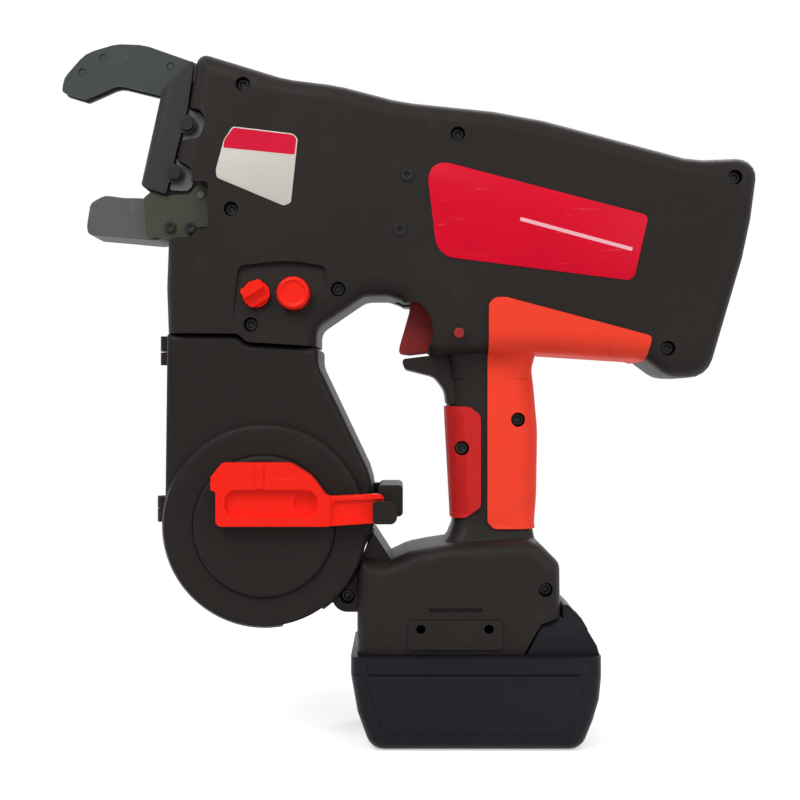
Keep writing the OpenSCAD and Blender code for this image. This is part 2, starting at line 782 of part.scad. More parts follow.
module gearbox_screws() {
    color(steel)
        for (screw = gearbox_screws_at) {
            difference() {
                cross_rod(screw, ring_screw_r, -body_half - 0.5, -body_half + 3 - seat);
                translate([screw[0], -body_half - 1, screw[1]])
                    rotate([-90, 0, 0])
                        cylinder(r = 1.4, h = 2, $fn = 6);
            }
            cross_rod(screw, screw_r, -body_half + 2, -case_r - 0.4);
        }
}

module accessory_plate() {
    color(charcoal)
        difference() {
            prism(accessory_side, -foot_half - 1, -foot_half + 1.5);
            for (k = [-1, 1])
                cross_rod(accessory_at + [k * accessory_spacing / 2, 0], accessory_r, -far, far);
        }
}

module nose_guard() {
    inner = frame_gap + frame_t + seat;
    outer = guard_half;
    color(jaw_grey)
        difference() {
            union() {
                intersection() {
                    axis_prism(guard_side, -outer, outer);
                    along_axis()
                        translate([0, 0, -60])
                            linear_extrude(120)
                                polygon(rounded([[1, outer, 6], [30, outer, 1], [30, -outer, 1],
                                [1, -outer, 6]]));
                }
                for (at = clip_screws_at)
                    both_sides()
                        along_axis() {
                            cross_rod(at, 4.2, -outer, -outer + 1.9);
                            translate([9, -outer, at[1] - 4.2])
                                cube([at[0] - 9, 1.9, 8.4]);
                        }
            }
            axis_box(4, 40, inner, -60, 60);
            axis_box(-5, 10, 9, -15, 15);
            prism(inset(jaw_side, -0.3), -jaw_half - 0.3, jaw_half + 0.3);
            for (at = clip_screws_at)
                along_axis()
                    cross_rod(at, screw_r + seat, -far, far);
        }
}

module frame_plates() {
    color(steel)
        both_sides()
            difference() {
                axis_prism(frame_side, -frame_gap - frame_t, -frame_gap);
                for (at = clip_screws_at)
                    along_axis()
                        cross_rod(at, screw_r + seat / 2, -far, far);
                for (at = cheek_screws_at)
                    cross_rod(at, screw_r + seat / 2, -far, far);
                for (at = jaw_pins_at)
                    cross_rod(at, jaw_bolt_r + seat / 2, -far, far);
                cross_rod(jaw_pin_at, jaw_pin_r + seat / 2, -far, far);
            }
}

module side_clips() {
    out = frame_gap + frame_t;
    color(clip_grey)
        both_sides()
            for (clip = [upper_clip, lower_clip])
                difference() {
                    axis_prism(clip, -out - clip_t, -out - seat / 2);
                    for (at = clip_screws_at)
                        along_axis()
                            cross_rod(at, screw_r + seat, -far, far);
                }
}

module clip_screws() {
    outer = guard_half;
    color(steel)
        both_sides()
            for (at = clip_screws_at)
                along_axis() {
                    cross_rod(at, 3, -outer - 1.6, -outer - seat / 2);
                    cross_rod(at, screw_r, -outer - 1, -frame_gap + 0.5);
                }
}

module jaw_plate() {
    difference() {
        prism(jaw_side, -jaw_half, -jaw_half / 2 + 0.2);
        for (at = rivets_at)
            cross_rod(at, rivet_r + seat / 2, -far, far);
        for (at = jaw_pins_at)
            cross_rod(at, jaw_bolt_r + seat / 2, -far, far);
    }
}

module upper_jaw_left() {
    color(jaw_grey)
        jaw_plate();
}

module upper_jaw_right() {
    color(jaw_grey)
        other_side()
            jaw_plate();
}

module upper_jaw_core() {
    color(steel)
        difference() {
            prism(core_side, -jaw_half / 2 + 0.25, jaw_half / 2 - 0.25);
            for (at = rivets_at)
                cross_rod(at, rivet_r + seat / 2, -far, far);
            for (at = jaw_pins_at)
                cross_rod(at, jaw_bolt_r + seat / 2, -far, far);
        }
}

module jaw_rivets() {
    color(jaw_grey)
        for (at = rivets_at)
            cross_rod(at, rivet_r, -jaw_half + 0.4, jaw_half - 0.4);
}

module jaw_pins() {
    color(steel)
        for (at = jaw_pins_at)
            cross_rod(at, jaw_bolt_r, -frame_gap - frame_t, frame_gap + frame_t);
}

module lower_jaw() {
    half = frame_gap - slide;
    color(jaw_grey)
        difference() {
            intersection() {
                prism(lower_jaw_side, -half, half);
                // the tip is a little narrower and its corners are round
                translate([0, 0, 200])
                    linear_extrude(80)
                        polygon(rounded([
                            [-179, half - 1, 3], [-160, half - 1, 3], [-156.5, half, 3], [-110, half, 1],
                            [-110, -half, 1], [-156.5, -half, 3], [-160, 1 - half, 3], [-179, 1 - half, 3]]));
            }
            prism(lower_jaw_groove, -half + 4, half - 4);
            cross_rod(jaw_pin_at, jaw_pin_r + running, -far, far);
        }
}

module lower_jaw_pin() {
    reach = frame_gap + frame_t + cheek_t + 0.4;
    color(steel)
        cross_rod(jaw_pin_at, jaw_pin_r, -reach, reach);
}

module jaw_cheeks() {
    out = frame_gap + frame_t;
    color(jaw_grey)
        both_sides()
            difference() {
                prism(cheek_side, -out - cheek_t, -out - seat / 2);
                for (at = cheek_screws_at)
                    cross_rod(at, screw_r + seat, -far, far);
                cross_rod(jaw_pin_at, jaw_pin_r + seat / 2, -far, far);
            }
}

module cheek_screws() {
    out = frame_gap + frame_t + cheek_t;
    color(steel)
        both_sides()
            for (at = cheek_screws_at) {
                difference() {
                    cross_rod(at, flange_head_r, -out - 1.4, -out - seat / 2);
                    translate([at[0], -out - 2, at[1]])
                        rotate([-90, 0, 0])
                            cylinder(r = 1.2, h = 1.4, $fn = 6);
                }
                cross_rod(at, screw_r, -out - 0.6, -frame_gap + 0.3);
            }
}

module hook_arm() {
    along_axis()
        difference() {
            translate([0, 0, -1.5])
                linear_extrude(3)
                    polygon([
                        [hook_u, -0.5], [hook_u + 0.8, -5], [hook_u + 6, -5.6], [hook_pin_u + 3.2, -5.2],
                        [hook_pin_u + 3.2, -1.6], [hook_u + 5, -2.4], [hook_u + 3.4, -0.5]]);
            translate([hook_pin_u, -hook_y, -5])
                cylinder(r = hook_pin_r + running, h = 10);
        }
}

module hook_left() {
    color(steel)
        hook_arm();
}

module hook_right() {
    color(steel)
        other_side()
            hook_arm();
}

module hook_pins() {
    color(steel)
        both_sides()
            along_axis()
                translate([hook_pin_u, -hook_y, -5])
                    cylinder(r = hook_pin_r, h = 10);
}

module twist_shaft() {
    carrier_u = gear_u + 3;
    color(steel)
        difference() {
            union() {
                axis_rod(shaft_r, hook_pin_u + 4.5, carrier_u + 2);
                axis_rod(6.8, hook_pin_u + 4.4, hook_pin_u + 8);
                for (w = [-5, 1.8])
                    axis_box(hook_pin_u - 4, hook_pin_u + 5, 4.6, w, w + 3.2);
                axis_rod(carrier_r, carrier_u, carrier_u + 3);
                for (k = [0 : planet_count - 1])
                    planet_place(k, carrier_u + 2)
                        cylinder(r = planet_pin_r, h = gear_width + 3.5);
            }
            for (y = [-hook_y, hook_y])
                along_axis()
                    translate([hook_pin_u, y, -6])
                        cylinder(r = hook_pin_r + seat / 2, h = 12);
        }
}

module sleeve() {
    color(steel)
        difference() {
            axis_rod(sleeve_r, sleeve_u, sleeve_u + sleeve_length);
            axis_rod(7.5, sleeve_u - 1, sleeve_u + sleeve_length - 6);
            axis_rod(shaft_r + running, sleeve_u, sleeve_u + sleeve_length + 1);
        }
}

module shaft_bearing() {
    color(brass)
        difference() {
            axis_rod(bearing_r, block_u, block_u + bearing_length);
            axis_rod(shaft_r + running, block_u - 1, block_u + bearing_length + 1);
        }
}

module bearing_block() {
    color(steel)
        difference() {
            axis_box(block_u, block_u + bearing_length, frame_gap - seat / 2, -14, 14);
            axis_rod(bearing_r + seat / 2, block_u - 1, block_u + bearing_length + 1);
        }
}

// The place of planet k, its pin along +Z
module planet_place(k, u) {
    along_axis()
        translate([u, 0, 0])
            rotate([0, 90, 0])
                rotate(360 * k / planet_count)
                    translate([planet_orbit, 0, 0])
                        children();
}

module gear_case() {
    ring_r = gear_module * ring_teeth / 2;
    teeth_u = gear_u + 7;
    color(steel)
        difference() {
            axis_rod(case_r, gear_u, motor_u);
            axis_rod(shaft_r + slide, gear_u - 1, gear_u + 4);
            axis_rod(carrier_r + slide, gear_u + 2.5, teeth_u + 0.1);
            along_axis()
                translate([teeth_u, 0, 0])
                    rotate([0, 90, 0])
                        rotate(180 / ring_teeth)
                            linear_extrude(gear_width + 2)
                                polygon(teeth(
                                    ring_teeth, ring_r - 0.85 * gear_module, ring_r + 1.15 * gear_module,
                                        0.38, 0.21));
            axis_rod(planet_orbit + 3, teeth_u + gear_width + 1.9, motor_u - 3);
            axis_rod(motor_boss_r + seat, motor_u - 4, motor_u + 1);
        }
}

module planet(k) {
    color(brass)
        planet_place(k, gear_u + 8)
            difference() {
                rotate(180 / planet_teeth)
                    gear(planet_teeth, gear_module, gear_width);
                translate([0, 0, -1])
                    cylinder(r = planet_pin_r + running, h = gear_width + 2);
            }
}

module planet_a() {
    planet(0);
}

module planet_b() {
    planet(1);
}

module planet_c() {
    planet(2);
}

module motor_pinion() {
    color(steel) {
        along_axis()
            translate([gear_u + 8, 0, 0])
                rotate([0, 90, 0])
                    gear(sun_teeth, gear_module, gear_width);
        axis_rod(motor_shaft_r, gear_u + 15, motor_u + 18);
    }
}

module tying_motor() {
    color(jaw_grey)
        difference() {
            union() {
                axis_rod(motor_r, motor_u + seat, motor_u + motor_length);
                axis_rod(motor_boss_r, motor_u - 2.8, motor_u + 1);
                axis_rod(6, motor_u + motor_length - 1, motor_u + motor_length + 4);
            }
            axis_rod(motor_shaft_r + running, motor_u - 4, motor_u + 20);
            // room round the rotor, with vents through the can
            difference() {
                axis_rod(motor_r - motor_wall, motor_u + motor_end, motor_u + motor_length - motor_end);
                axis_rod(rotor_r, motor_u, motor_u + motor_length);
            }
            along_axis()
                for (turn = [30 : 60 : 330])
                    rotate([turn, 0, 0])
                        translate([motor_u + vent_u[0], -vent_width / 2, rotor_r + 1])
                            cube([vent_u[1] - vent_u[0], vent_width, motor_r]);
        }
}

module feed_bracket() {
    color(steel)
        difference() {
            union() {
                prism(bracket_side, -bracket_front, -bracket_front + bracket_t);
                prism(bracket_side, bracket_back - bracket_t, bracket_back);
                for (at = bracket_posts)
                    cross_rod(at, 2.5, -bracket_front + 1, bracket_back - 1);
                // guides above and below the wheels
                for (z = [[190.8, 195.6], [214.4, 222]])
                    translate([wire_x - 3, -bracket_front + 1, z[0]])
                        cube([6, bracket_front + 0.5, z[1] - z[0]]);
                cross_rod(lever_at, feed_shaft_r, -bracket_front + 1, -8.5);
            }
            translate([wire_x, -5.5, 180])
                cylinder(r = 1.2, h = 60);
            cross_rod(drive_at, feed_shaft_r + running, -far, far);
            cross_rod(pinion_at, feed_motor_boss_r + seat, bracket_back - 3, far);
        }
}

// A toothed wheel in the feed's plane from y1 towards the latch side, with a tooth at the given angle
module feed_gear(at, count, width, y1, angle) {
    translate([at[0], y1, at[1]])
        rotate([90, 0, 0])
            rotate(angle)
                gear(count, feed_module, width);
}

// Grooved roller that grips the wire
module feed_roller(at) {
    r = feed_module * wheel_teeth / 2 - 0.4;
    translate([at[0], -3, at[1]])
        rotate([90, 0, 0])
            rotate_extrude()
                polygon([
                    [0, -0.5], [r - 1.6, -0.5], [r - 1.6, 0.4], [r, 0.4], [r, 1.9], [r - 0.6, 2.5], [r, 3.1],
                    [r, 5], [0, 5]]);
}

module feed_drive_wheel() {
    color(steel) {
        feed_gear(drive_at, wheel_teeth, 4, 1, 0);
        feed_roller(drive_at);
        feed_gear(drive_at, drive_teeth, 4, 6, motor_turn);
        cross_rod(drive_at, 4, 0.5, 2.5);
        cross_rod(drive_at, feed_shaft_r, -bracket_front + 0.2, bracket_back - 0.2);
    }
}

module feed_idler_wheel() {
    color(steel)
        difference() {
            union() {
                feed_gear(idler_at, wheel_teeth, 4, 1, 180 / wheel_teeth);
                feed_roller(idler_at);
            }
            cross_rod(idler_at, feed_shaft_r + running, -far, far);
        }
}

module idler_lever() {
    side = 4 * left_of(unit(idler_at - lever_at));
    y0 = -bracket_front + bracket_t + slide;
    color(brass)
        difference() {
            union() {
                cross_rod(lever_at, 4, y0, y0 + 2);
                cross_rod(idler_at, 4, y0, y0 + 2);
                translate([0, y0 + 2, 0])
                    rotate([90, 0, 0])
                        linear_extrude(2)
                            polygon([lever_at - side, lever_at + side, idler_at + side, idler_at - side]);
                cross_rod(idler_at, feed_shaft_r, y0 + 1, 1.4);
            }
            cross_rod(lever_at, feed_shaft_r + running, -far, far);
        }
}

module feed_motor() {
    color(jaw_grey)
        difference() {
            union() {
                cross_rod(pinion_at, feed_motor_r, bracket_back + seat, body_half - wall - 0.2);
                cross_rod(pinion_at, feed_motor_boss_r, bracket_back - 1.8, bracket_back + 1);
            }
            cross_rod(pinion_at, feed_motor_shaft_r + running, 0, bracket_back + 10);
        }
}

module feed_pinion() {
    color(brass) {
        feed_gear(pinion_at, pinion_teeth, 3.6, 5.8, motor_turn - 180 / pinion_teeth);
        cross_rod(pinion_at, feed_motor_shaft_r, 5, bracket_back + 9);
    }
}

// A turned piece on an axis along Y, its profile given as [radius, y]
module turned(at, profile) {
    translate([at[0], 0, at[1]])
        rotate([-90, 0, 0])
            rotate_extrude()
                polygon(profile);
}

module release_button() {
    top = -body_half - 6;
    under = -panel_floor + panel_t + 0.3;
    color(orange_red)
        turned(button_at, [
            [0, top + 0.8], [button_r - 2.4, top + 0.8], [button_r - 1.8, top], [button_r - 1, top],
            [button_r, top + 1.2], [button_r, under], [button_r + 1.4, under],
            [button_r + 1.4, under + 2], [0, under + 2]]);
}

module button_spring() {
    from = -panel_floor + panel_t + 2.3;
    color(steel)
        translate([button_at[0], from, button_at[1]])
            rotate([-90, 0, 0])
                coil(5, 0.8, 3, -bracket_front - from);
}

module lock_knob() {
    under = -panel_floor + panel_t + 0.3;
    color(orange_red) {
        turned(knob_at, [
            [0, 0.8 - body_half], [knob_r, 0.8 - body_half], [knob_r, -panel_floor - 0.3],
            [knob_shaft_r, -panel_floor - 0.3], [knob_shaft_r, under], [4.6, under], [4.6, under + 1.8],
            [0, under + 1.8]]);
        // square block and the ridge along its upper side
        translate([knob_at[0], 1.2 - body_half, knob_at[1]])
            rotate([90, 0, 0])
                rotate(32) {
                    linear_extrude(4.4)
                        polygon(rounded([[-5.4, 4.8, 2], [5.4, 4.8, 2], [5.4, -4.8, 2], [-5.4, -4.8, 2]]));
                    linear_extrude(7.4)
                        polygon(rounded([[-5.2, 4.6, 1.6], [5.2, 4.6, 1.6], [5.2, 0.2, 1], [-5.2, 0.2, 1]]));
                }
    }
}

module trigger() {
    color(dark_red)
        difference() {
            intersection() {
                prism(trigger_side, -trigger_half, trigger_half);
                translate([0, 0, 150])
                    linear_extrude(80)
                        polygon(rounded([
                            [-36, trigger_half, 5], [0, trigger_half, 1], [0, -trigger_half, 1],
                            [-36, -trigger_half, 5]]));
            }
            cross_rod(trigger_pin_at, trigger_pin_r + running, -far, far);
        }
}

module trigger_pin() {
    color(steel)
        cross_rod(trigger_pin_at, trigger_pin_r, -trigger_half - 4.8, trigger_half + 4.8);
}

module trigger_spring() {
    color(steel)
        translate([-13.8, 0, 200])
            rotate([0, 90, 0])
                coil(2.2, 0.7, 4, 10.3);
}

module trigger_lock() {
    color(orange_red)
        cross_rod(lock_at, lock_r, -body_half - 3, body_half - 1);
}

module trigger_switch() {
    color(jaw_grey) {
        translate([-3.5, -switch_half, 180])
            cube([19.5, 2 * switch_half, 23.5]);
        translate([-12.4, 0, 192])
            rotate([0, 90, 0])
                cylinder(r = 2, h = 10);
    }
}

module magazine_prism(t, y0, y1) {
    translate([0, y1, 0])
        rotate([90, 0, 0])
            linear_extrude(y1 - y0) {
                polygon(rounded(inset(neck_side, t)));
                translate(drum_at)
                    circle(drum_r - t, $fn = 72);
            }
}

module knuckles(spans, grow = 0) {
    for (span = spans)
        translate([hinge_x, 0, span[0] - grow])
            cylinder(r = span[2] + grow, h = span[1] - span[0] + 2 * grow);
}

module knuckle_bores(spans, r) {
    for (span = spans)
        translate([hinge_x, 0, span[0] - 1])
            cylinder(r = r, h = span[1] - span[0] + 2);
}

// Webs that join the knuckles to the case, or mirrored to the cover
module knuckle_webs(spans) {
    for (span = spans)
        translate([hinge_x, cover_gap, span[0]])
            cube([5, span[2] - cover_gap, span[1] - span[0]]);
}

// A shallow finger notch in the rim of case and cover, low at the foot's side
module rim_notch() {
    difference() {
        prism([
            for (a = [0, -80, -55])
                [drum_at[0] + (a ? 60 * cos(a) : 0), drum_at[1] + (a ? 60 * sin(a) : 0), 0.5]], -far, far);
        cross_rod(drum_at, drum_r - 1.2, -far, far);
    }
}

module wire_gate() {
    translate([wire_x - 5, -10, 176])
        cube([10, 20, 14]);
}

module magazine_case() {
    lug = screws_at[8];
    color(charcoal)
        difference() {
            union() {
                difference() {
                    magazine_prism(0, cover_gap, case_depth);
                    magazine_prism(magazine_wall, -1, case_depth - magazine_wall);
                }
                cross_rod(drum_at, spindle_r, 3 - reel_width / 2, case_depth - 1);
                knuckles(case_knuckles);
                knuckle_webs(case_knuckles);
                // catch post for the latch, beside the cover
                prism(post_side, -drum_face - 2.4, 8);
                translate([-50, cover_gap, 106])
                    cube([10, 8, 11]);
                // tab held by the foot's lug
                difference() {
                    union() {
                        cross_rod(lug, 6, cover_gap, tab_t);
                        translate([lug[0] - 8, cover_gap, lug[1] - 6])
                            cube([8, tab_t - cover_gap, 16]);
                    }
                    cross_rod(drum_at, drum_r - 1, -far, far);
                }
            }
            cross_rod(lug, screw_r + seat, -far, far);
            cross_rod(drum_at, spindle_r - 3, -far, case_depth - 3);
            knuckle_bores(case_knuckles, hinge_pin_r + seat / 2);
            knuckles(cover_knuckles, slide);
            wire_gate();
            rim_notch();
        }
}

module magazine_cover() {
    color(charcoal)
        difference() {
            union() {
                difference() {
                    latch_side()
                        half_moulding(neck_side, cover_depth, 3.5, 0, 2, 30);
                    translate([-far / 2, -cover_gap, -far / 2])
                        cube([far, far, 2 * far]);
                }
                turned(drum_at, [
                    [0, -cover_gap], [drum_r, -cover_gap], [drum_r, 4 - drum_face],
                    [drum_r - 1.2, 1.2 - drum_face],
                    [drum_r - 4, -drum_face], [0, -drum_face]]);
                knuckles(cover_knuckles);
                other_side()
                    knuckle_webs(cover_knuckles);
            }
            magazine_prism(magazine_wall, magazine_wall - cover_depth, 1);
            cross_rod(drum_at, drum_r - magazine_wall, magazine_wall - drum_face, 1);
            cross_rod(drum_at, disc_r + slide, -far, -disc_floor);
            cross_rod(drum_at, disc_pin_r + running, -far, 1);
            knuckle_bores(cover_knuckles, hinge_pin_r + running);
            knuckles(case_knuckles, slide);
            wire_gate();
            rim_notch();
        }
}

module hinge_pins() {
    color(steel)
        for (k = [0, 1])
            translate([hinge_x, 0, case_knuckles[k][0] + 0.3])
                cylinder(r = hinge_pin_r, h = cover_knuckles[k][1] - case_knuckles[k][0] - 0.6);
}

module latch_disc() {
    inner = magazine_wall - drum_face + 0.3;
    color(charcoal)
        turned(drum_at, [
            [0, -disc_face], [disc_r - 2, -disc_face], [disc_r, 1.4 - disc_face], [disc_r, -disc_floor - 0.3],
            [disc_pin_r, -disc_floor - 0.3], [disc_pin_r, inner], [disc_snap_r, inner],
            [disc_snap_r, inner + 2], [0, inner + 2]]);
}

module latch_arm(extra) {
    intersection() {
        prism(inset(lever_side, -extra), -arm_face - extra, -disc_face - 1 + extra);
        translate([-66.5, -far / 2, 90])
            cube([60, far, 50]);
    }
}

module latch_lever() {
    color(orange_red) {
        difference() {
            intersection() {
                prism(lever_side, -lever_face, -disc_face - seat / 2);
                translate([-130, -far / 2, 90])
                    cube([65, far, 50]);
            }
            prism(pocket_side, -far, -lever_face + 3);
            // deeper finger end of the pocket
            cross_rod(finger_at, finger_r, -far, -lever_face + 4.5);
        }
        difference() {
            latch_arm(0);
            prism(channel_side, -far, -arm_face + 1.6);
        }
        translate([rib_x, 1 - lever_face, 117])
            cylinder(r = 2.5, h = 10.6);
    }
}

module latch_tip() {
    color(charcoal)
        difference() {
            prism(tip_side, -lever_face - 2, -disc_face + 0.2);
            latch_arm(seat / 2);
        }
}

module wire_reel() {
    half = reel_width / 2;
    color(charcoal)
        difference() {
            turned(drum_at, [
                [0, -half], [reel_r, -half], [reel_r, flange_t - half], [reel_hub_r, flange_t - half],
                [reel_hub_r, half - flange_t], [reel_r, half - flange_t], [reel_r, half], [0, half]]);
            cross_rod(drum_at, spindle_r + running, -far, far);
        }
}

module wire_winding() {
    half = reel_width / 2 - flange_t - seat / 2;
    color(steel)
        difference() {
            cross_rod(drum_at, reel_hub_r + wire_depth, -half, half);
            cross_rod(drum_at, reel_hub_r + seat / 2, -far, far);
        }
}

module control_board() {
    half = foot_half - wall - slide;
    color(green)
        translate([-44, -half, board_z])
            cube([64, 2 * half, board_t]);
    color(jaw_grey) {
        translate([-30, -12, 52.5])
            cube([18, 24, board_z - 52]);
        for (x = [-30, -8])
            translate([x, 8, board_z + 1])
                cube([12, 12, 4]);
        translate([2, -14, board_z + 1])
            cylinder(r = 5, h = 11);
    }
    color(brass)
        for (y = [-8, 8])
            translate([-28, y - 0.5, 45.4])
                cube([14, 1, 8]);
}

module pack_solid(t) {
    full_moulding(pack_side, pack_half, pack_round, t);
}

module battery_case_lower() {
    color(pack_black)
        difference() {
            pack_solid(0);
            pack_solid(pack_wall);
            translate([-far / 2, -far / 2, seam_z - seat / 2])
                cube([far, far, far]);
        }
}

// The push button's frame on the hump's sloped rear face, +Z pointing out of the face
module button_place() {
    translate([50.5, 0, 52.2])
        rotate([0, 59.5, 0])
            children();
}

module battery_case_upper() {
    roof = rail_z - slide + 0.1;
    color(pack_black)
        difference() {
            union() {
                difference() {
                    pack_solid(0);
                    translate([-far / 2, -far / 2, roof])
                        cube([far, far, far]);
                    translate([-far / 2, -far / 2, seam_z + seat / 2 - far])
                        cube([far, far, far]);
                    difference() {
                        pack_solid(pack_wall);
                        translate([-far / 2, -far / 2, roof - pack_wall])
                            cube([far, far, far]);
                    }
                }
                translate([-40, -rail_half, roof - 1])
                    cube([75, 2 * rail_half, 6]);
                translate([-40, -rail_half - 3.6, rail_z + lip_t + slide])
                    cube([66, 2 * rail_half + 7.2, 5]);
                intersection() {
                    prism(hump_side, -hump_half, hump_half);
                    rotate([90, 0, 90])
                        linear_extrude(80)
                            polygon(rounded([
                                [-hump_half, 36, 1], [-hump_half, 51, 14], [-20, 66, 10], [20, 66, 10],
                                [hump_half, 51, 14], [hump_half, 36, 1]]));
                }
            }
            for (y = [-8, 8])
                translate([-41, y - 1, 44.6])
                    cube([27.5, 2, 6]);
            button_place()
                translate([-3.9, -11.4, -8])
                    cube([7.8, 22.8, 12]);
        }
}

module battery_cells() {
    color(green)
        for (i = [0 : cells_in_row - 1])
            for (row = [0, 1])
                cross_rod([
                    (i - (cells_in_row - 1) / 2) * cell_pitch,
                    pack_wall + cell_r + 0.05 + row * (2 * cell_r + 0.05)], cell_r, -cell_half, cell_half);
}

module battery_button() {
    color(charcoal)
        button_place()
            translate([-3.5, -11, -5])
                cube([7, 22, 6]);
}

housing_left();
housing_right();
rear_pad();
front_pad();
housing_screws();
gearbox_screws();
accessory_plate();
nose_guard();
frame_plates();
side_clips();
clip_screws();
upper_jaw_left();
upper_jaw_right();
upper_jaw_core();
jaw_rivets();
jaw_pins();
lower_jaw();
lower_jaw_pin();
jaw_cheeks();
cheek_screws();
hook_left();
hook_right();
hook_pins();
twist_shaft();
sleeve();
shaft_bearing();
bearing_block();
gear_case();
planet_a();
planet_b();
planet_c();
motor_pinion();
tying_motor();
feed_bracket();
feed_drive_wheel();
feed_idler_wheel();
idler_lever();
feed_motor();
feed_pinion();
release_button();
button_spring();
lock_knob();
trigger();
trigger_pin();
trigger_spring();
trigger_lock();
trigger_switch();
magazine_case();
magazine_cover();
hinge_pins();
latch_disc();
latch_lever();
latch_tip();
wire_reel();
wire_winding();
control_board();
battery_case_lower();
battery_case_upper();
battery_cells();
battery_button();
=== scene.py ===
import contextlib
import json
import math

import bpy
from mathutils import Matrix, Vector


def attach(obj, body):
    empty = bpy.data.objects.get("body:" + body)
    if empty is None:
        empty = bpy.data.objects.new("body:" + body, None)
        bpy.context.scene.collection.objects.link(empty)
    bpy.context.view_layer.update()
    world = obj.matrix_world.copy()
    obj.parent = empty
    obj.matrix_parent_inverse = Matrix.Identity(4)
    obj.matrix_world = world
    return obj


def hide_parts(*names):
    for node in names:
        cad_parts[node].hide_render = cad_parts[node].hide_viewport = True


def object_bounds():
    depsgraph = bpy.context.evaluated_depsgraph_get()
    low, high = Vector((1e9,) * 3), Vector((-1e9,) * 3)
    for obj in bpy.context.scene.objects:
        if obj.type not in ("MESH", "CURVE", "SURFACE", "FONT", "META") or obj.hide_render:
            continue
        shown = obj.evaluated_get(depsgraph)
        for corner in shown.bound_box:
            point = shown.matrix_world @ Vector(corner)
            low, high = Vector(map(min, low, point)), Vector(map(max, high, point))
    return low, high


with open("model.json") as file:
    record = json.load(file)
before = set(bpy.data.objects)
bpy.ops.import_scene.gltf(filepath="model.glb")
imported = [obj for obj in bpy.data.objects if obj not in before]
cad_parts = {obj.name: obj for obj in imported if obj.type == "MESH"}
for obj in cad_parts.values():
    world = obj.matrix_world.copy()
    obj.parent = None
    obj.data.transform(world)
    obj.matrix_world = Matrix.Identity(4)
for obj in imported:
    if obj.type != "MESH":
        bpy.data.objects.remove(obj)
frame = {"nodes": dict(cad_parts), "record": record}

bl_info = {
    "name": "Rebar Tying Tool Looks",
    "version": (1, 0, 0),
    "blender": (4, 5, 0),
    "location": "View3D > Sidebar > Tying Tool",
    "description": "Dresses the solids of a hand-held rebar tying tool and sets its studio stage",
    "category": "Object",
}

CAD_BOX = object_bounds()
RECORD = frame["record"]
BODY_OF = {node: body for body, nodes in RECORD["behaviour"]["bodies"].items() for node in nodes}

MM = 1000               # millimetres in a metre; plates and screws are placed in millimetres
SIDE_Y = -0.028         # outer face of the near housing half
SINK = 0.0001           # how deep a plate is let into the face that carries it
SHARP = 38              # edges that turn more than this, in degrees, are rounded
RIM = 50                # the same for the rim of a plate, whose rounded corners turn less
FLAT = 0.6              # faces that turn less than this, in degrees, become one face
CORNER_STEPS = 7        # segments in a plate's rounded corner
WELD = 0.00002          # points closer than this become one before edges are rounded
FINE_WELD = 0.000001    # the same where edges stay as they are, and after rounding
UPRIGHT = (math.radians(90), 0, 0)


# Values and settings a user would change

def tint(name, description, default):
    return bpy.props.FloatVectorProperty(
        name=name, description=description, subtype="COLOR", size=3, min=0, max=1, default=default)


def length(name, description, low, high, default):
    return bpy.props.FloatProperty(
        name=name, description=description, unit="LENGTH", min=low, max=high, default=default)


class ToolColours(bpy.types.PropertyGroup):
    """Colours of the tool's finishes"""
    housing: tint("Housing", "Moulded plastic of body, foot and magazine", (0.0185, 0.0152, 0.0138))
    pack: tint("Battery", "Plastic of the battery case", (0.009, 0.009, 0.0125))
    rear_pad: tint("Rear pad", "Soft pad behind the grip", (0.93, 0.055, 0.024))
    front_pad: tint("Front pad", "Soft pad in front of the grip", (0.58, 0.018, 0.016))
    control: tint("Controls", "Latch lever, button and knob", (0.96, 0.016, 0.006))
    trigger: tint("Trigger", "Plastic of the trigger", (0.28, 0.02, 0.018))
    jaw: tint("Jaws", "Blackened steel of the jaws", (0.042, 0.049, 0.048))
    cheek: tint("Jaw cheeks", "Olive steel of the jaw cheeks", (0.05, 0.048, 0.035))
    plate: tint("Side plate", "Bare label plate on the body", (0.7, 0.003, 0.024))
    sticker: tint("Sticker", "Bare pale sticker behind the nose", (0.62, 0.58, 0.53))


class ToolSizes(bpy.types.PropertyGroup):
    """Small sizes of the tool's dressing"""
    moulded_edge: length("Moulded edge", "Edge rounding of the mouldings", 0.0001, 0.002, 0.0006)
    pad_edge: length("Pad edge", "Edge rounding of the soft rear pad", 0.0001, 0.002, 0.0005)
    control_edge: length("Control edge", "Edge rounding of lever and button", 0.0001, 0.002, 0.0006)
    bolt_edge: length("Lock bolt edge", "Edge rounding of the trigger lock", 0.0001, 0.002, 0.0005)
    trigger_edge: length("Trigger edge", "Edge rounding of the trigger", 0.0001, 0.003, 0.0012)
    metal_edge: length("Metal edge", "Edge rounding of the metal pieces", 0.0001, 0.002, 0.00035)
    cast_edge: length("Cast edge", "Edge rounding of the cast lower jaw", 0.0001, 0.002, 0.0008)
    fine_edge: length("Fine edge", "Edge rounding of the machined pieces", 0.0001, 0.001, 0.0002)
    screw_edge: length("Screw edge", "Edge rounding of the outer screws", 0.0001, 0.001, 0.00025)
    plate_thickness: length(
        "Plate thickness", "Thickness of the side plate", 0.0001, 0.001, 0.0005)
    panel_rise: length(
        "Panel rise", "How far the battery's side panels stand out", 0.0002, 0.0015, 0.0008)
    camera_distance: length(
        "Camera distance", "Distance of the camera from the middle plane", 0.3, 2.0, 0.66)
    camera_lens: bpy.props.FloatProperty(
        name="Lens", description="Focal length of the camera in millimetres",
        unit="CAMERA", min=20, max=150, default=63.19)
    smooth_angle: bpy.props.FloatProperty(
        name="Smooth angle", description="Edges flatter than this are shaded smooth",
        subtype="ANGLE", min=0.1, max=1.5, default=math.radians(SHARP))


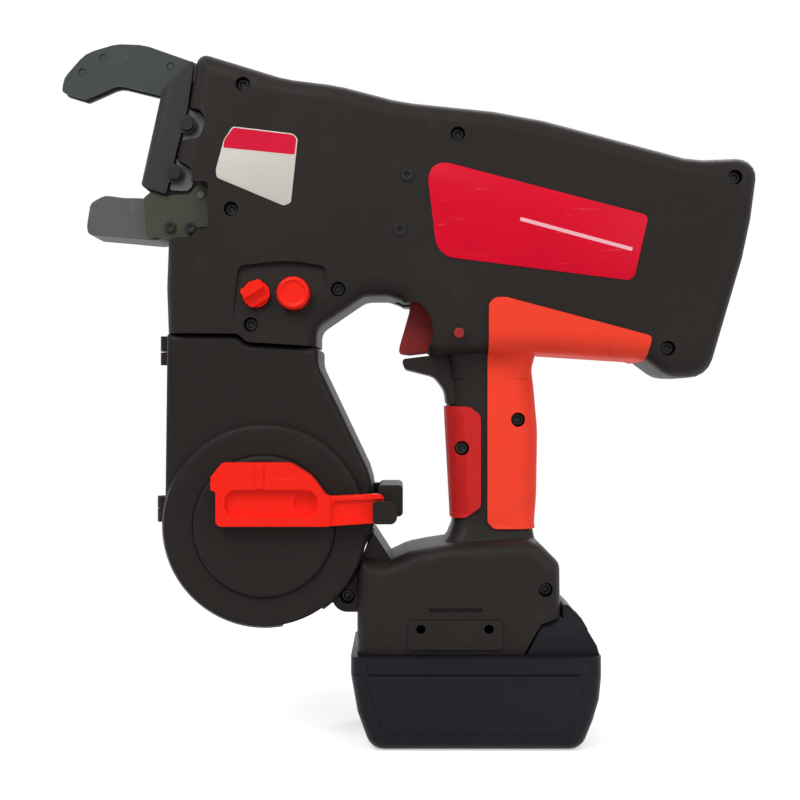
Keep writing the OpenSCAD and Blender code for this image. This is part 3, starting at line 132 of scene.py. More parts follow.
def colours():
    return bpy.context.scene.tying_tool_colours


def sizes():
    return bpy.context.scene.tying_tool_sizes


# Shader maths

class Value:
    """A socket that can be used in expressions; each operator adds a Math node"""

    def __init__(self, tree, socket):
        self.tree = tree
        self.socket = socket

    def math(self, operation, a, b, clamp=False):
        settings = {"operation": operation, "use_clamp": clamp}
        return self.tree.node("ShaderNodeMath", settings, {0: a, 1: b})

    def __add__(self, other):
        return self.math("ADD", self, other)

    def __radd__(self, other):
        return self.math("ADD", other, self)

    def __sub__(self, other):
        return self.math("SUBTRACT", self, other)

    def __rsub__(self, other):
        return self.math("SUBTRACT", other, self)

    def __mul__(self, other):
        return self.math("MULTIPLY", self, other)

    def __rmul__(self, other):
        return self.math("MULTIPLY", other, self)

    def above(self, level, softness):
        """0 below level, 1 above level plus softness"""
        return self.math("MULTIPLY", self - level, 1 / softness, clamp=True)

    def larger(self, other):
        return self.math("MAXIMUM", self, other)


class Nodes:
    """A node tree built up call by call"""

    def __init__(self, owner):
        owner.use_nodes = True
        self.tree = owner.node_tree
        self.tree.nodes.clear()

    def node(self, kind, settings=None, inputs=None, output=0):
        """Adds a node, sets it, feeds its sockets and gives one of its outputs"""
        made = self.tree.nodes.new(kind)
        for key, value in (settings or {}).items():
            setattr(made, key, value)
        for key, value in (inputs or {}).items():
            self.put(made.inputs[key], value)
        return Value(self, made.outputs[output]) if made.outputs else None

    def put(self, socket, value):
        """Links a value to a socket, or sets the socket's own number or colour"""
        if isinstance(value, Value):
            self.tree.links.new(value.socket, socket)
        elif socket.type == "RGBA" and len(value) == 3:
            socket.default_value = (*value, 1.0)
        else:
            socket.default_value = value

    def place(self):
        """The point on the piece, in metres"""
        return self.node("ShaderNodeTexCoord", output="Object")

    def seen(self):
        """1 for rays that show the background: camera, glossy and transmission rays"""
        camera, glossy, clear = (self.node("ShaderNodeLightPath", output="Is %s Ray" % kind)
                                 for kind in ("Camera", "Glossy", "Transmission"))
        return camera.larger(glossy).larger(clear)


class Finish(Nodes):
    """A material with one Principled shader"""

    def __init__(self, name, **constants):
        self.material = bpy.data.materials.new(name)
        super().__init__(self.material)
        surface = self.node("ShaderNodeBsdfPrincipled")
        self.shader = surface.socket.node
        self.node("ShaderNodeOutputMaterial", None, {"Surface": surface})
        self.point = self.place()
        self.set(**constants)

    def set(self, **values):
        """Sets or links the shader's sockets and gives the material"""
        for key, value in values.items():
            self.put(self.shader.inputs[key.replace("_", " ")], value)
        return self.material

    def noise(self, scale, detail=2.0, roughness=0.5, squeeze=None):
        """Noise of so many spots to a metre, and more along an axis that is squeezed"""
        where = self.point
        if squeeze:
            where = self.node("ShaderNodeMapping", None, {"Vector": where, "Scale": squeeze})
        return self.node("ShaderNodeTexNoise", None, {
            "Vector": where, "Scale": scale, "Detail": detail, "Roughness": roughness})

    def mix(self, factor, first, second):
        inputs = {0: factor, 6: first, 7: second}
        return self.node("ShaderNodeMix", {"data_type": "RGBA"}, inputs, 2)

    def varied(self, mask, colour, dark, light):
        """A colour times dark where the mask is 0, and times light where it is 1"""
        return self.mix(mask, shade(colour, dark), shade(colour, light))

    def bump(self, height, strength, distance):
        return self.node("ShaderNodeBump", None, {
            "Height": height, "Strength": strength, "Distance": distance})


def shade(colour, factor):
    return tuple(min(1.0, c * factor) for c in colour)


# Finishes: each maker takes the material's name first

def spark_grain(f, strength, scale):
    """Fine moulded texture, and the broad clouds that vary its colour and gloss"""
    fine = f.noise(scale, roughness=0.6)
    broad = f.noise(22, detail=3.0)
    return f.bump(fine * 0.8 + broad * 0.2, strength, distance=0.0004), broad


def moulded(name, colour, roughness, grain):
    """Hard plastic with a moulded grain and a little dust"""
    f = Finish(name, Specular_IOR_Level=0.12)
    normal, broad = spark_grain(f, strength=grain, scale=1500)
    dust = f.noise(75, detail=4.0, roughness=0.62).above(0.60, softness=0.12)
    tone = f.varied(broad, colour, dark=0.84, light=1.2)
    return f.set(Base_Color=f.mix(dust * 0.35, tone, shade(colour, 1.9)),
                 Roughness=roughness - 0.07 + broad * 0.12 + dust * 0.06, Normal=normal)


def soft_pad(name, colour):
    """Soft rubber with a little grime"""
    f = Finish(name, Specular_IOR_Level=0.16)
    normal, broad = spark_grain(f, strength=0.35, scale=1100)
    grime = f.noise(60, detail=4.0, roughness=0.6).above(0.58, softness=0.2)
    tone = f.varied(broad, colour, dark=0.9, light=1.12)
    return f.set(Base_Color=f.mix(grime * 0.22, tone, shade(colour, 0.62)),
                 Roughness=0.5 + broad * 0.1 + grime * 0.08, Normal=normal)


def control_plastic(name):
    """Glossy plastic with a few rubbed streaks"""
    f = Finish(name, Specular_IOR_Level=0.18)
    broad = f.noise(30, detail=3.0)
    streaks = f.noise(40, detail=3.0, roughness=0.7, squeeze=(1.0, 1.0, 14.0))
    scratch = streaks.above(0.64, softness=0.06)
    tone = f.varied(broad, colours().control, dark=0.93, light=1.06)
    return f.set(Base_Color=f.mix(scratch * 0.18, tone, (1.0, 0.16, 0.1)),
                 Roughness=0.3 + broad * 0.1 + scratch * 0.1,
                 Normal=f.bump(f.noise(260), strength=0.06, distance=0.0004))


def trigger_plastic(name):
    """Satin plastic with a moulded grain"""
    f = Finish(name, Specular_IOR_Level=0.25)
    normal, broad = spark_grain(f, strength=0.2, scale=1300)
    return f.set(Base_Color=f.varied(broad, colours().trigger, dark=0.85, light=1.2),
                 Roughness=0.36 + broad * 0.14, Normal=normal)


def oxide(name, colour):
    """Blackened steel, rubbed a little brighter in places"""
    f = Finish(name, Metallic=0.2, Specular_IOR_Level=0.25)
    cloud = f.noise(48, detail=4.0, roughness=0.6)
    scale_marks = f.noise(420, detail=3.0, roughness=0.6)
    streaks = f.noise(120, detail=4.0, roughness=0.65, squeeze=(1.0, 3.0, 1.0))
    rubbed = streaks.above(0.60, softness=0.1)
    tone = f.varied(cloud, colour, dark=0.8, light=1.25)
    return f.set(Base_Color=f.mix(rubbed * 0.2, tone, shade(colour, 2.4)),
                 Roughness=0.5 + cloud * 0.16 - rubbed * 0.08,
                 Normal=f.bump(scale_marks, strength=0.12, distance=0.0003))


def cast_grey(name):
    """Grey cast metal with fine pits, rubbed a little brighter in places"""
    f = Finish(name, Metallic=0.15, Specular_IOR_Level=0.35)
    cloud = f.noise(55, detail=4.0, roughness=0.6)
    pits = f.noise(900, roughness=0.6)
    rubbed = f.noise(90, detail=4.0, roughness=0.65).above(0.58, softness=0.14)
    tone = f.mix(cloud, (0.062, 0.065, 0.06), (0.105, 0.107, 0.098))
    return f.set(Base_Color=f.mix(rubbed * 0.2, tone, (0.2, 0.2, 0.18)),
                 Roughness=0.44 + cloud * 0.14,
                 Normal=f.bump(pits, strength=0.2, distance=0.0003))


def guard_black(name):
    """Black coated metal with fine pits"""
    f = Finish(name, Metallic=0.1, Specular_IOR_Level=0.25)
    cloud = f.noise(60, detail=3.0)
    return f.set(Base_Color=f.mix(cloud, (0.014, 0.014, 0.014), (0.026, 0.026, 0.025)),
                 Roughness=0.42 + cloud * 0.16,
                 Normal=f.bump(f.noise(1000), strength=0.2, distance=0.0003))


def brushed(name, dark, light, roughness):
    """Bare metal with fine lines across it"""
    f = Finish(name, Metallic=1.0)
    lines = f.noise(60, detail=3.0, roughness=0.7, squeeze=(1.0, 1.0, 40.0))
    return f.set(Base_Color=f.mix(lines * 0.7 + f.noise(40) * 0.3, dark, light),
                 Roughness=roughness - 0.06 + lines * 0.14,
                 Normal=f.bump(lines, strength=0.08, distance=0.0002))


def clip_steel(name):
    """Dull grey steel with fine lines and clouds"""
    f = Finish(name, Metallic=0.25, Specular_IOR_Level=0.35)
    cloud = f.noise(70, detail=3.0, roughness=0.6)
    lines = f.noise(60, detail=3.0, roughness=0.7, squeeze=(1.0, 1.0, 30.0))
    tone = f.mix(cloud * 0.6 + lines * 0.4, (0.085, 0.09, 0.09), (0.155, 0.16, 0.16))
    return f.set(Base_Color=tone, Roughness=0.42 + lines * 0.14,
                 Normal=f.bump(lines, strength=0.08, distance=0.0002))


def wound_wire(name):
    """Turns of wire side by side round the reel"""
    f = Finish(name, Roughness=0.35, Metallic=0.9)
    turns = f.node("ShaderNodeTexWave", {"bands_direction": "Y", "wave_profile": "SIN"}, {
        "Vector": f.point, "Scale": 200.0, "Distortion": 0.6, "Detail": 1.0}, 1)
    # the colour follows the turns: painted shade in the grooves between them and painted highlight
    # along their crests
    return f.set(Base_Color=f.mix(turns, (0.05, 0.05, 0.05), (0.22, 0.22, 0.21)),
                 Normal=f.bump(turns, strength=0.7, distance=0.0006))


def board_green(name):
    """Lacquered board with a pattern of tracks"""
    f = Finish(name, Roughness=0.4)
    tracks = f.node("ShaderNodeTexBrick", None, {
        "Vector": f.point, "Scale": 260.0, "Color1": (0.01, 0.09, 0.04),
        "Color2": (0.012, 0.12, 0.05), "Mortar": (0.02, 0.17, 0.08)})
    return f.set(Base_Color=tracks, Normal=f.bump(f.noise(600), strength=0.1, distance=0.0002))


def cell_wrap(name):
    """Shrunk plastic film round the battery's cells"""
    f = Finish(name)
    cloud = f.noise(45, detail=3.0)
    return f.set(Base_Color=f.mix(cloud, (0.015, 0.12, 0.07), (0.03, 0.18, 0.1)),
                 Roughness=0.26 + cloud * 0.12,
                 Normal=f.bump(cloud, strength=0.1, distance=0.0005))


def plate_red(name):
    """Glossy red plate with a few fine scratches"""
    f = Finish(name, Specular_IOR_Level=0.12)
    cloud = f.noise(30, detail=3.0)
    streaks = f.noise(50, detail=4.0, roughness=0.7, squeeze=(1.0, 1.0, 10.0))
    scratch = streaks.above(0.66, softness=0.05)
    tone = f.varied(cloud, colours().plate, dark=0.92, light=1.1)
    return f.set(Base_Color=f.mix(scratch * 0.25, tone, (0.85, 0.2, 0.2)),
                 Roughness=0.3 + cloud * 0.1 + scratch * 0.15,
                 Normal=f.bump(f.noise(180), strength=0.05, distance=0.0004))


def plate_line(name):
    """Pale ink of the line on the side plate"""
    f = Finish(name)
    cloud = f.noise(90, detail=3.0)
    return f.set(Base_Color=f.mix(cloud, (0.86, 0.4, 0.44), (0.95, 0.52, 0.56)),
                 Roughness=0.3 + cloud * 0.1)


def sticker_cream(name):
    """Clear-coated pale paper with a little grime"""
    f = Finish(name, Coat_Weight=0.2, Coat_Roughness=0.25)
    colour = colours().sticker
    cloud = f.noise(40, detail=4.0)
    grime = f.noise(120, detail=4.0, roughness=0.7).above(0.62, softness=0.12)
    tone = f.varied(cloud, colour, dark=0.93, light=1.06)
    return f.set(Base_Color=f.mix(grime * 0.2, tone, shade(colour, 0.6)),
                 Roughness=0.36 + cloud * 0.12,
                 Normal=f.bump(cloud, strength=0.05, distance=0.0006))


def sticker_red(name):
    """Red ink of the sticker's band"""
    f = Finish(name, Specular_IOR_Level=0.15)
    cloud = f.noise(60, detail=3.0)
    return f.set(Base_Color=f.mix(cloud, (0.6, 0.004, 0.03), (0.74, 0.008, 0.045)),
                 Roughness=0.36 + cloud * 0.1)


MAKERS = {
    "housing_plastic": lambda name: moulded(
        name, colours().housing, roughness=0.46, grain=0.25),
    # the magazine is the housing's plastic darkened to 0.82: painted shade of the tool's lower
    # half, which gets less light from above
    "magazine_plastic": lambda name: moulded(
        name, shade(colours().housing, 0.82), roughness=0.5, grain=0.3),
    "pack_plastic": lambda name: moulded(
        name, colours().pack, roughness=0.36, grain=0.12),
    "rear_rubber": lambda name: soft_pad(name, colours().rear_pad),
    "front_rubber": lambda name: soft_pad(name, colours().front_pad),
    "control_plastic": control_plastic,
    "trigger_plastic": trigger_plastic,
    "black_oxide": lambda name: oxide(name, colours().jaw),
    "olive_oxide": lambda name: oxide(name, colours().cheek),
    "cast_grey": cast_grey,
    "guard_black": guard_black,
    "clip_steel": clip_steel,
    "bare_steel": lambda name: brushed(
        name, dark=(0.38, 0.38, 0.39), light=(0.58, 0.58, 0.58), roughness=0.3),
    # near-black screws: partly the screw heads' own black, partly painted shade of the recesses
    # they sit in
    "screw_steel": lambda name: brushed(
        name, dark=(0.012, 0.012, 0.012), light=(0.04, 0.04, 0.04), roughness=0.42),
    "gear_brass": lambda name: brushed(
        name, dark=(0.45, 0.3, 0.1), light=(0.66, 0.47, 0.2), roughness=0.32),
    "motor_shell": lambda name: brushed(
        name, dark=(0.12, 0.12, 0.13), light=(0.24, 0.24, 0.25), roughness=0.42),
    "wound_wire": wound_wire,
    "board_green": board_green,
    "cell_wrap": cell_wrap,
    "plate_red": plate_red,
    "plate_line": plate_line,
    "sticker_cream": sticker_cream,
    "sticker_red": sticker_red,
}
FINISHES = {}


def finish(name):
    """The named material, made on first use"""
    if name not in FINISHES:
        FINISHES[name] = MAKERS[name](name)
    return FINISHES[name]


# Modelling helpers

def only(obj):
    """Makes obj the one selected and active object"""
    bpy.ops.object.select_all(action="DESELECT")
    obj.select_set(True)
    bpy.context.view_layer.objects.active = obj


def added(name):
    """The object that the last primitive operator made, renamed"""
    obj = bpy.context.view_layer.objects.active
    obj.name = name
    obj.data.name = name
    return obj


def settle(obj):
    """Moves an object's place, turn and scale into its mesh"""
    only(obj)
    bpy.ops.object.transform_apply(location=True, rotation=True, scale=True)
    return obj


@contextlib.contextmanager
def editing(obj, action="SELECT"):
    """Edit mode on one object, with all or none of its mesh selected"""
    only(obj)
    bpy.ops.object.mode_set(mode="EDIT")
    bpy.ops.mesh.select_all(action=action)
    yield
    bpy.ops.object.mode_set(mode="OBJECT")


def modifier(obj, kind, **settings):
    """Adds a modifier and applies it"""
    made = obj.modifiers.new(kind.lower(), kind)
    for key, value in settings.items():
        setattr(made, key, value)
    only(obj)
    bpy.ops.object.modifier_apply(modifier=made.name)


def round_edges(obj, width, segments=2, degrees=SHARP):
    modifier(obj, "BEVEL", width=width, segments=segments, limit_method="ANGLE",
             angle_limit=math.radians(degrees), use_clamp_overlap=True, miter_outer="MITER_ARC")


def smooth(obj):
    only(obj)
    bpy.ops.object.shade_smooth_by_angle(angle=sizes().smooth_angle)


def wear(obj, material):
    obj.data.materials.clear()
    obj.data.materials.append(finish(material))


def ride_on(obj, body, material):
    """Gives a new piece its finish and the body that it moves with"""
    wear(obj, material)
    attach(obj, body)


def dressed(node, material, width=None, segments=2):
    """A welded copy of a solid, its edges rounded where they leave room, standing for the solid"""
    obj = bpy.data.objects.new(node + "_dressed", frame["nodes"][node].data.copy())
    bpy.context.scene.collection.objects.link(obj)
    with editing(obj):
        bpy.ops.mesh.remove_doubles(threshold=WELD if width else FINE_WELD)
        bpy.ops.mesh.dissolve_limited(angle_limit=math.radians(FLAT))
        bpy.ops.mesh.normals_make_consistent(inside=False)
    if obj.data.has_custom_normals:
        bpy.ops.mesh.customdata_custom_splitnormals_clear()
    if width:
        round_edges(obj, width, segments)
        # where two roundings meet, the strip between them has no width left
        with editing(obj):
            bpy.ops.mesh.remove_doubles(threshold=FINE_WELD)
            bpy.ops.mesh.dissolve_degenerate(threshold=FINE_WELD)
    smooth(obj)
    # wide faces keep their own direction, so that light doesn't streak across them
    modifier(obj, "WEIGHTED_NORMAL", mode="FACE_AREA", weight=60, keep_sharp=True)
    ride_on(obj, BODY_OF[node], material)
    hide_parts(node)


def flat_plate(name, corners, roundings, y, rise, edge=None):
    """A thin upright plate from y to y + rise, with its corners and its rim rounded

    Corners are x, z in millimetres, and each has its own rounding.
    """
    points = [Vector((x / MM, y, z / MM)) for x, z in corners]
    bpy.ops.object.select_all(action="DESELECT")
    bpy.ops.mesh.primitive_circle_add(vertices=len(points), fill_type="NGON", location=(0, 0, 0))
    obj = added(name)
    for vertex, point in zip(obj.data.vertices, points):
        vertex.co = point
    for point, rounding in zip(points, roundings):
        with editing(obj, "DESELECT"):
            bpy.ops.mesh.select_mode(type="VERT")
        for vertex in obj.data.vertices:
            vertex.select = (vertex.co - point).length < FINE_WELD
        bpy.ops.object.mode_set(mode="EDIT")
        bpy.ops.mesh.bevel(offset=rounding / MM, segments=CORNER_STEPS, affect="VERTICES")
        bpy.ops.object.mode_set(mode="OBJECT")
    with editing(obj):
        bpy.ops.mesh.extrude_region_move(TRANSFORM_OT_translate={"value": (0, rise, 0)})
    with editing(obj):
        bpy.ops.mesh.normals_make_consistent(inside=False)
    if edge:
        round_edges(obj, edge, degrees=RIM)
    smooth(obj)
    return obj


# Operators, one for each group of pieces

class TOOL_OT_mouldings(bpy.types.Operator):
    """Dress the plastic mouldings: housing halves, magazine, latch disc and battery"""
    bl_idname = "tying_tool.mouldings"
    bl_label = "Mouldings"

    def execute(self, context):
        edge = sizes().moulded_edge
        for node in ("housing_left", "housing_right"):
            dressed(node, "housing_plastic")
        dressed("magazine_cover", "magazine_plastic")
        for node in ("magazine_case", "latch_disc", "latch_tip"):
            dressed(node, "magazine_plastic", edge)
        dressed("accessory_plate", "housing_plastic", edge)
        for node in ("battery_case_lower", "battery_case_upper", "battery_button"):
            dressed(node, "pack_plastic", edge)
        return {"FINISHED"}


class TOOL_OT_soft_pads(bpy.types.Operator):
    """Dress the soft grip pads"""
    bl_idname = "tying_tool.soft_pads"
    bl_label = "Soft pads"

    def execute(self, context):
        dressed("rear_pad", "rear_rubber", sizes().pad_edge)
        dressed("front_pad", "front_rubber")
        return {"FINISHED"}


class TOOL_OT_controls(bpy.types.Operator):
    """Dress the latch lever, release button, lock knob, trigger and trigger lock"""
    bl_idname = "tying_tool.controls"
    bl_label = "Controls"

    def execute(self, context):
        for node in ("latch_lever", "release_button"):
            dressed(node, "control_plastic", sizes().control_edge, segments=3)
        dressed("lock_knob", "control_plastic")
        dressed("trigger_lock", "trigger_plastic", sizes().bolt_edge, segments=3)
        dressed("trigger", "trigger_plastic", sizes().trigger_edge, segments=3)
        return {"FINISHED"}


class TOOL_OT_jaws(bpy.types.Operator):
    """Dress the jaws, the nose guard and the steel pieces round them"""
    bl_idname = "tying_tool.jaws"
    bl_label = "Jaws and nose"

    def execute(self, context):
        edge, fine = sizes().metal_edge, sizes().fine_edge
        for node in ("upper_jaw_left", "upper_jaw_right", "jaw_rivets"):
            dressed(node, "black_oxide", edge)
        dressed("jaw_cheeks", "olive_oxide", edge)
        dressed("lower_jaw", "cast_grey", sizes().cast_edge, segments=3)
        dressed("nose_guard", "guard_black", edge)
        # the frame plates wear the black finish so that the channel under the clips stays dark:
        # painted shade of that channel
        dressed("frame_plates", "guard_black", fine)
        dressed("side_clips", "clip_steel", edge)
        for node in ("upper_jaw_core", "hook_left", "hook_right", "twist_shaft", "sleeve"):
            dressed(node, "bare_steel", fine)
        for node in ("cheek_screws", "clip_screws", "gearbox_screws"):
            dressed(node, "screw_steel", sizes().screw_edge)
        return {"FINISHED"}


class TOOL_OT_inner_pieces(bpy.types.Operator):
    """Give the solids inside the housing their finishes"""
    bl_idname = "tying_tool.inner_pieces"
    bl_label = "Inner pieces"

    by_finish = {
        "clip_steel": ("jaw_pins", "lower_jaw_pin"),
        "bare_steel": ("hook_pins", "motor_pinion", "feed_drive_wheel", "feed_idler_wheel",
                       "button_spring", "trigger_pin", "trigger_spring", "hinge_pins"),
        "cast_grey": ("bearing_block", "gear_case", "feed_bracket"),
        "gear_brass": ("shaft_bearing", "planet_a", "planet_b", "planet_c", "idler_lever",
                       "feed_pinion"),
        "motor_shell": ("tying_motor", "feed_motor"),
        "magazine_plastic": ("wire_reel", "trigger_switch"),
        "wound_wire": ("wire_winding",),
        "board_green": ("control_board",),
        "cell_wrap": ("battery_cells",),
    }

    def execute(self, context):
        for material, nodes in self.by_finish.items():
            for node in nodes:
                wear(frame["nodes"][node], material)
        return {"FINISHED"}


class TOOL_OT_screws(bpy.types.Operator):
    """Model one recessed screw with a hexagon socket and set a copy in each boss"""
    bl_idname = "tying_tool.screws"
    bl_label = "Housing screws"

    head_radius = 0.0029
    head_height = 0.0029
    head_edge = 0.0004
    socket_radius = 0.0016
    socket_height = 0.0036
    socket_middle = -0.0021
    recess = 0.0045
    # x and z of each screw and how far out the face beside it lies, in millimetres
    places = ((-104.8, 298.4, 28), (-110.2, 242.1, 28), (-7.9, 275.9, 28), (-61.9, 206, 28),
              (-101.2, 190, 28), (117, 256.5, 28), (86.8, 179.4, 28), (31.4, 70.8, 30),
              (-57.9, 66.7, 22), (-5.6, 133.9, 17), (20.1, 147, 17))

    def execute(self, context):
        bpy.ops.object.select_all(action="DESELECT")
        bpy.ops.mesh.primitive_cylinder_add(
            vertices=36, radius=self.head_radius, depth=self.head_height, rotation=UPRIGHT)
        head = settle(added("housing_screw_heads"))
        bpy.ops.object.select_all(action="DESELECT")
        bpy.ops.mesh.primitive_cylinder_add(
            vertices=6, radius=self.socket_radius, depth=self.socket_height,
            location=(0, self.socket_middle, 0), rotation=UPRIGHT)
        socket = settle(added("screw_socket"))
        modifier(head, "BOOLEAN", operation="DIFFERENCE", object=socket, solver="EXACT")
        bpy.data.objects.remove(socket)
        round_edges(head, self.head_edge, segments=3, degrees=40)
        copies = []
        for x, z, face in self.places:
            copy = bpy.data.objects.new("screw_copy", head.data.copy())
            copy.location = (x / MM, -face / MM + self.recess, z / MM)
            context.scene.collection.objects.link(copy)
            copies.append(settle(copy))
        bpy.data.objects.remove(head)
        only(copies[0])
        for copy in copies:
            copy.select_set(True)
        bpy.ops.object.join()
        screws = added("housing_screw_heads")
        smooth(screws)
        # the dark screw finish stands partly for painted shade inside the screw recesses
        ride_on(screws, "tool", "screw_steel")
        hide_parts("housing_screws")
        return {"FINISHED"}


class TOOL_OT_plates(bpy.types.Operator):
    """Model the bare side plate and the bare sticker"""
    bl_idname = "tying_tool.plates"
    bl_label = "Plates"

    side = ((-22.6, 265.5), (78.0, 239.1), (71.1, 209.6), (-17.2, 220.9))
    side_roundings = (11.9, 2.9, 3.6, 7.4)
    side_rim = 0.00018
    line = ((20.3, 238.3), (70.7, 224.6), (70.3, 223.0), (19.9, 236.7))
    line_roundings = (0.2,) * len(line)
    line_thickness = 0.0002
    sticker = ((-109.3, 279.1), (-82.2, 275.9), (-80, 273.7), (-83.1, 244.8),
               (-86.3, 243.4), (-116.5, 256.1), (-116.9, 259.7), (-113.3, 273.2))
    sticker_roundings = (1.0,) * len(sticker)
    sticker_rim = 0.00012
    sticker_share = 0.8     # the sticker's thickness as a share of the plate's
    band = ((-109.0, 278.6), (-82.4, 275.4), (-80.6, 273.6), (-81.4, 266.4),
            (-113.6, 269.6), (-112.9, 273.2))
    band_roundings = (0.8,) * len(band)
    band_thickness = 0.00016

    def execute(self, context):
        back = SIDE_Y + SINK
        thick = sizes().plate_thickness
        plate = flat_plate("side_plate", self.side, self.side_roundings,
                           back, -thick, self.side_rim)
        ride_on(plate, "tool", "plate_red")
        line = flat_plate("side_plate_line", self.line, self.line_roundings,
                          back - thick + SINK, -self.line_thickness)
        ride_on(line, "tool", "plate_line")
        thin = thick * self.sticker_share
        sticker = flat_plate("sticker", self.sticker, self.sticker_roundings,
                             back, -thin, self.sticker_rim)
        ride_on(sticker, "tool", "sticker_cream")
        band = flat_plate("sticker_band", self.band, self.band_roundings,
                          back - thin + SINK, -self.band_thickness)
        ride_on(band, "tool", "sticker_red")
        return {"FINISHED"}


class TOOL_OT_seam_lip(bpy.types.Operator):
    """Model the lip inside the far housing half that closes the seam above the magazine"""
    bl_idname = "tying_tool.seam_lip"
    bl_label = "Seam lip"

    strip = ((-137, 189.2), (-106.5, 189.2), (-102.2, 185.2), (-74, 183.2),
             (-74, 176.8), (-104, 179.2), (-108.3, 183), (-137, 183))
    roundings = (0.5,) * len(strip)
    wall_y = 0.0252         # just inside the far wall
    thickness = 0.001
    rim = 0.0002

    def execute(self, context):
        lip = flat_plate("seam_lip", self.strip, self.roundings,
                         self.wall_y, -self.thickness, self.rim)
        ride_on(lip, "tool", "housing_plastic")
        return {"FINISHED"}


class TOOL_OT_pack_panels(bpy.types.Operator):
    """Model the raised panels on the battery's two sides, one above and one below its seam"""
    bl_idname = "tying_tool.pack_panels"
    bl_label = "Battery panels"

    low = ((-48.4, 33.6), (46.7, 33.6), (46.7, 25), (40.5, 7.5), (-40.5, 7.5), (-48.4, 28))
    low_roundings = (2, 2, 4, 4, 4, 4)
    high = ((-48.4, 41.2), (46.7, 41.2), (46.7, 34.4), (-48.4, 34.4))
    high_roundings = (3, 3, 1, 1)
    case_y = 0.0375         # outer face of the battery's case
    rim = 0.0004

    def execute(self, context):
        rise = sizes().panel_rise + SINK
        for side, sign in (("left", -1), ("right", 1)):
            for level, corners, roundings in (("low", self.low, self.low_roundings),
                                              ("high", self.high, self.high_roundings)):
                panel = flat_plate("pack_panel_%s_%s" % (level, side), corners, roundings,
                                   sign * (self.case_y - SINK), sign * rise, self.rim)
                ride_on(panel, "battery", "pack_plastic")
        return {"FINISHED"}


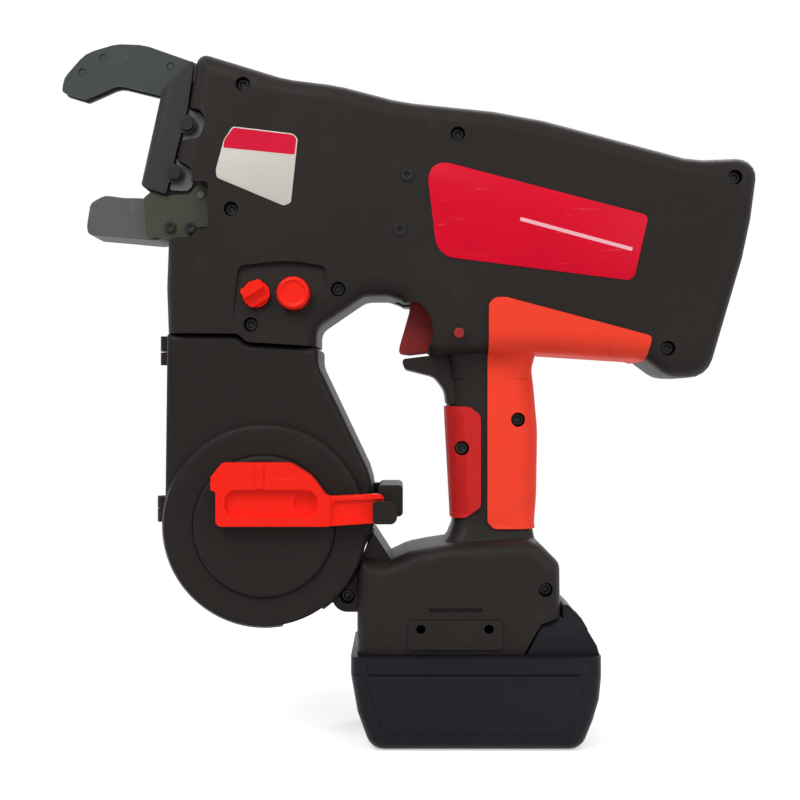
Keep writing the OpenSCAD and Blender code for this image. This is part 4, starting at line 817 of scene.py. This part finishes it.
class TOOL_OT_stage(bpy.types.Operator):
    """Set the floor, the world, the lamps and the camera"""
    bl_idname = "tying_tool.stage"
    bl_label = "Stage"

    # name, place, target, size and watts of each lamp
    lamps = (("key_lamp", (-0.5, -0.75, 1.05), (-0.02, 0, 0.19), 0.7, 10.5),
             ("fill_lamp", (0.85, -0.85, 0.75), (0.0, 0, 0.19), 0.9, 5.5),
             ("rim_lamp", (0.3, 0.8, 0.9), (0.0, 0, 0.2), 0.7, 6))
    camera_x = -0.034
    camera_z = 0.156
    floor_size = 8
    floor_gap = 0.0002
    floor_lift = 0.5        # share of white that the floor adds to its shadow
    white_from = 0.25       # distance from the middle where the floor starts to turn plain white
    white_fade = 0.45
    sky_light = 0.36

    def execute(self, context):
        scene = context.scene
        bpy.ops.object.select_all(action="DESELECT")
        bpy.ops.mesh.primitive_plane_add(size=self.floor_size,
                                         location=(0, 0, CAD_BOX[0].z - self.floor_gap))
        floor = settle(added("stage_floor"))
        floor.data.materials.append(self.floor_finish())
        self.sky(scene)
        for settings in self.lamps:
            self.lamp(scene, *settings)
        data = bpy.data.cameras.new("photo_camera")
        data.lens = sizes().camera_lens
        data.sensor_width = 36
        data.clip_start = 0.01
        camera = bpy.data.objects.new("photo_camera", data)
        camera.location = (self.camera_x, -sizes().camera_distance, self.camera_z)
        camera.rotation_euler = UPRIGHT
        scene.collection.objects.link(camera)
        scene.camera = camera
        scene.view_settings.view_transform = "Standard"
        return {"FINISHED"}

    def floor_finish(self):
        """A pale floor that keeps the shadow near the tool and runs out into plain white"""
        material = bpy.data.materials.new("stage_floor")
        f = Nodes(material)
        distance = f.node("ShaderNodeVectorMath", {"operation": "LENGTH"}, {0: f.place()}, 1)
        far = distance.above(self.white_from, self.white_fade)
        seen = f.seen()
        pale = f.node("ShaderNodeBsdfDiffuse", None, {"Color": (0.8, 0.8, 0.8)})
        lift = f.node("ShaderNodeEmission", None, {"Strength": seen * self.floor_lift})
        near = f.node("ShaderNodeAddShader", None, {0: pale, 1: lift})
        white = f.node("ShaderNodeEmission", None, {"Strength": seen})
        both = f.node("ShaderNodeMixShader", None, {0: far, 1: near, 2: white})
        f.node("ShaderNodeOutputMaterial", None, {"Surface": both})
        return material

    def sky(self, scene):
        """A dim white world that shows as plain white"""
        scene.world = bpy.data.worlds.new("studio")
        f = Nodes(scene.world)
        lit, shown = (f.node("ShaderNodeBackground", None, {"Color": (1, 1, 1), "Strength": level})
                      for level in (self.sky_light, 1.0))
        mixed = f.node("ShaderNodeMixShader", None, {0: f.seen(), 1: lit, 2: shown})
        f.node("ShaderNodeOutputWorld", None, {"Surface": mixed})

    def lamp(self, scene, name, place, target, size, watts):
        data = bpy.data.lights.new(name, "AREA")
        data.size = size
        data.energy = watts
        lamp = bpy.data.objects.new(name, data)
        lamp.location = place
        aim = Vector(target) - Vector(place)
        lamp.rotation_euler = aim.to_track_quat("-Z", "Y").to_euler()
        scene.collection.objects.link(lamp)


class TOOL_PT_panel(bpy.types.Panel):
    """Colours, sizes and steps of the tying tool's looks"""
    bl_idname = "TOOL_PT_panel"
    bl_label = "Tying Tool"
    bl_space_type = "VIEW_3D"
    bl_region_type = "UI"
    bl_category = "Tying Tool"

    def draw(self, context):
        for settings in (colours(), sizes()):
            for key in settings.bl_rna.properties.keys():
                if key not in ("rna_type", "name"):
                    self.layout.prop(settings, key)
        for step in STEPS:
            self.layout.operator(step.bl_idname)


STEPS = (TOOL_OT_stage, TOOL_OT_mouldings, TOOL_OT_soft_pads, TOOL_OT_controls, TOOL_OT_jaws,
         TOOL_OT_inner_pieces, TOOL_OT_screws, TOOL_OT_plates, TOOL_OT_seam_lip,
         TOOL_OT_pack_panels)
CLASSES = (ToolColours, ToolSizes, *STEPS, TOOL_PT_panel)


def register():
    for item in CLASSES:
        bpy.utils.register_class(item)
    bpy.types.Scene.tying_tool_colours = bpy.props.PointerProperty(type=ToolColours)
    bpy.types.Scene.tying_tool_sizes = bpy.props.PointerProperty(type=ToolSizes)


def unregister():
    del bpy.types.Scene.tying_tool_sizes
    del bpy.types.Scene.tying_tool_colours
    for item in reversed(CLASSES):
        bpy.utils.unregister_class(item)


def main():
    register()
    bpy.ops.tying_tool.stage()
    bpy.ops.tying_tool.mouldings()
    bpy.ops.tying_tool.soft_pads()
    bpy.ops.tying_tool.controls()
    bpy.ops.tying_tool.jaws()
    bpy.ops.tying_tool.inner_pieces()
    bpy.ops.tying_tool.screws()
    bpy.ops.tying_tool.plates()
    bpy.ops.tying_tool.seam_lip()
    bpy.ops.tying_tool.pack_panels()


if __name__ == "__main__":
    main()
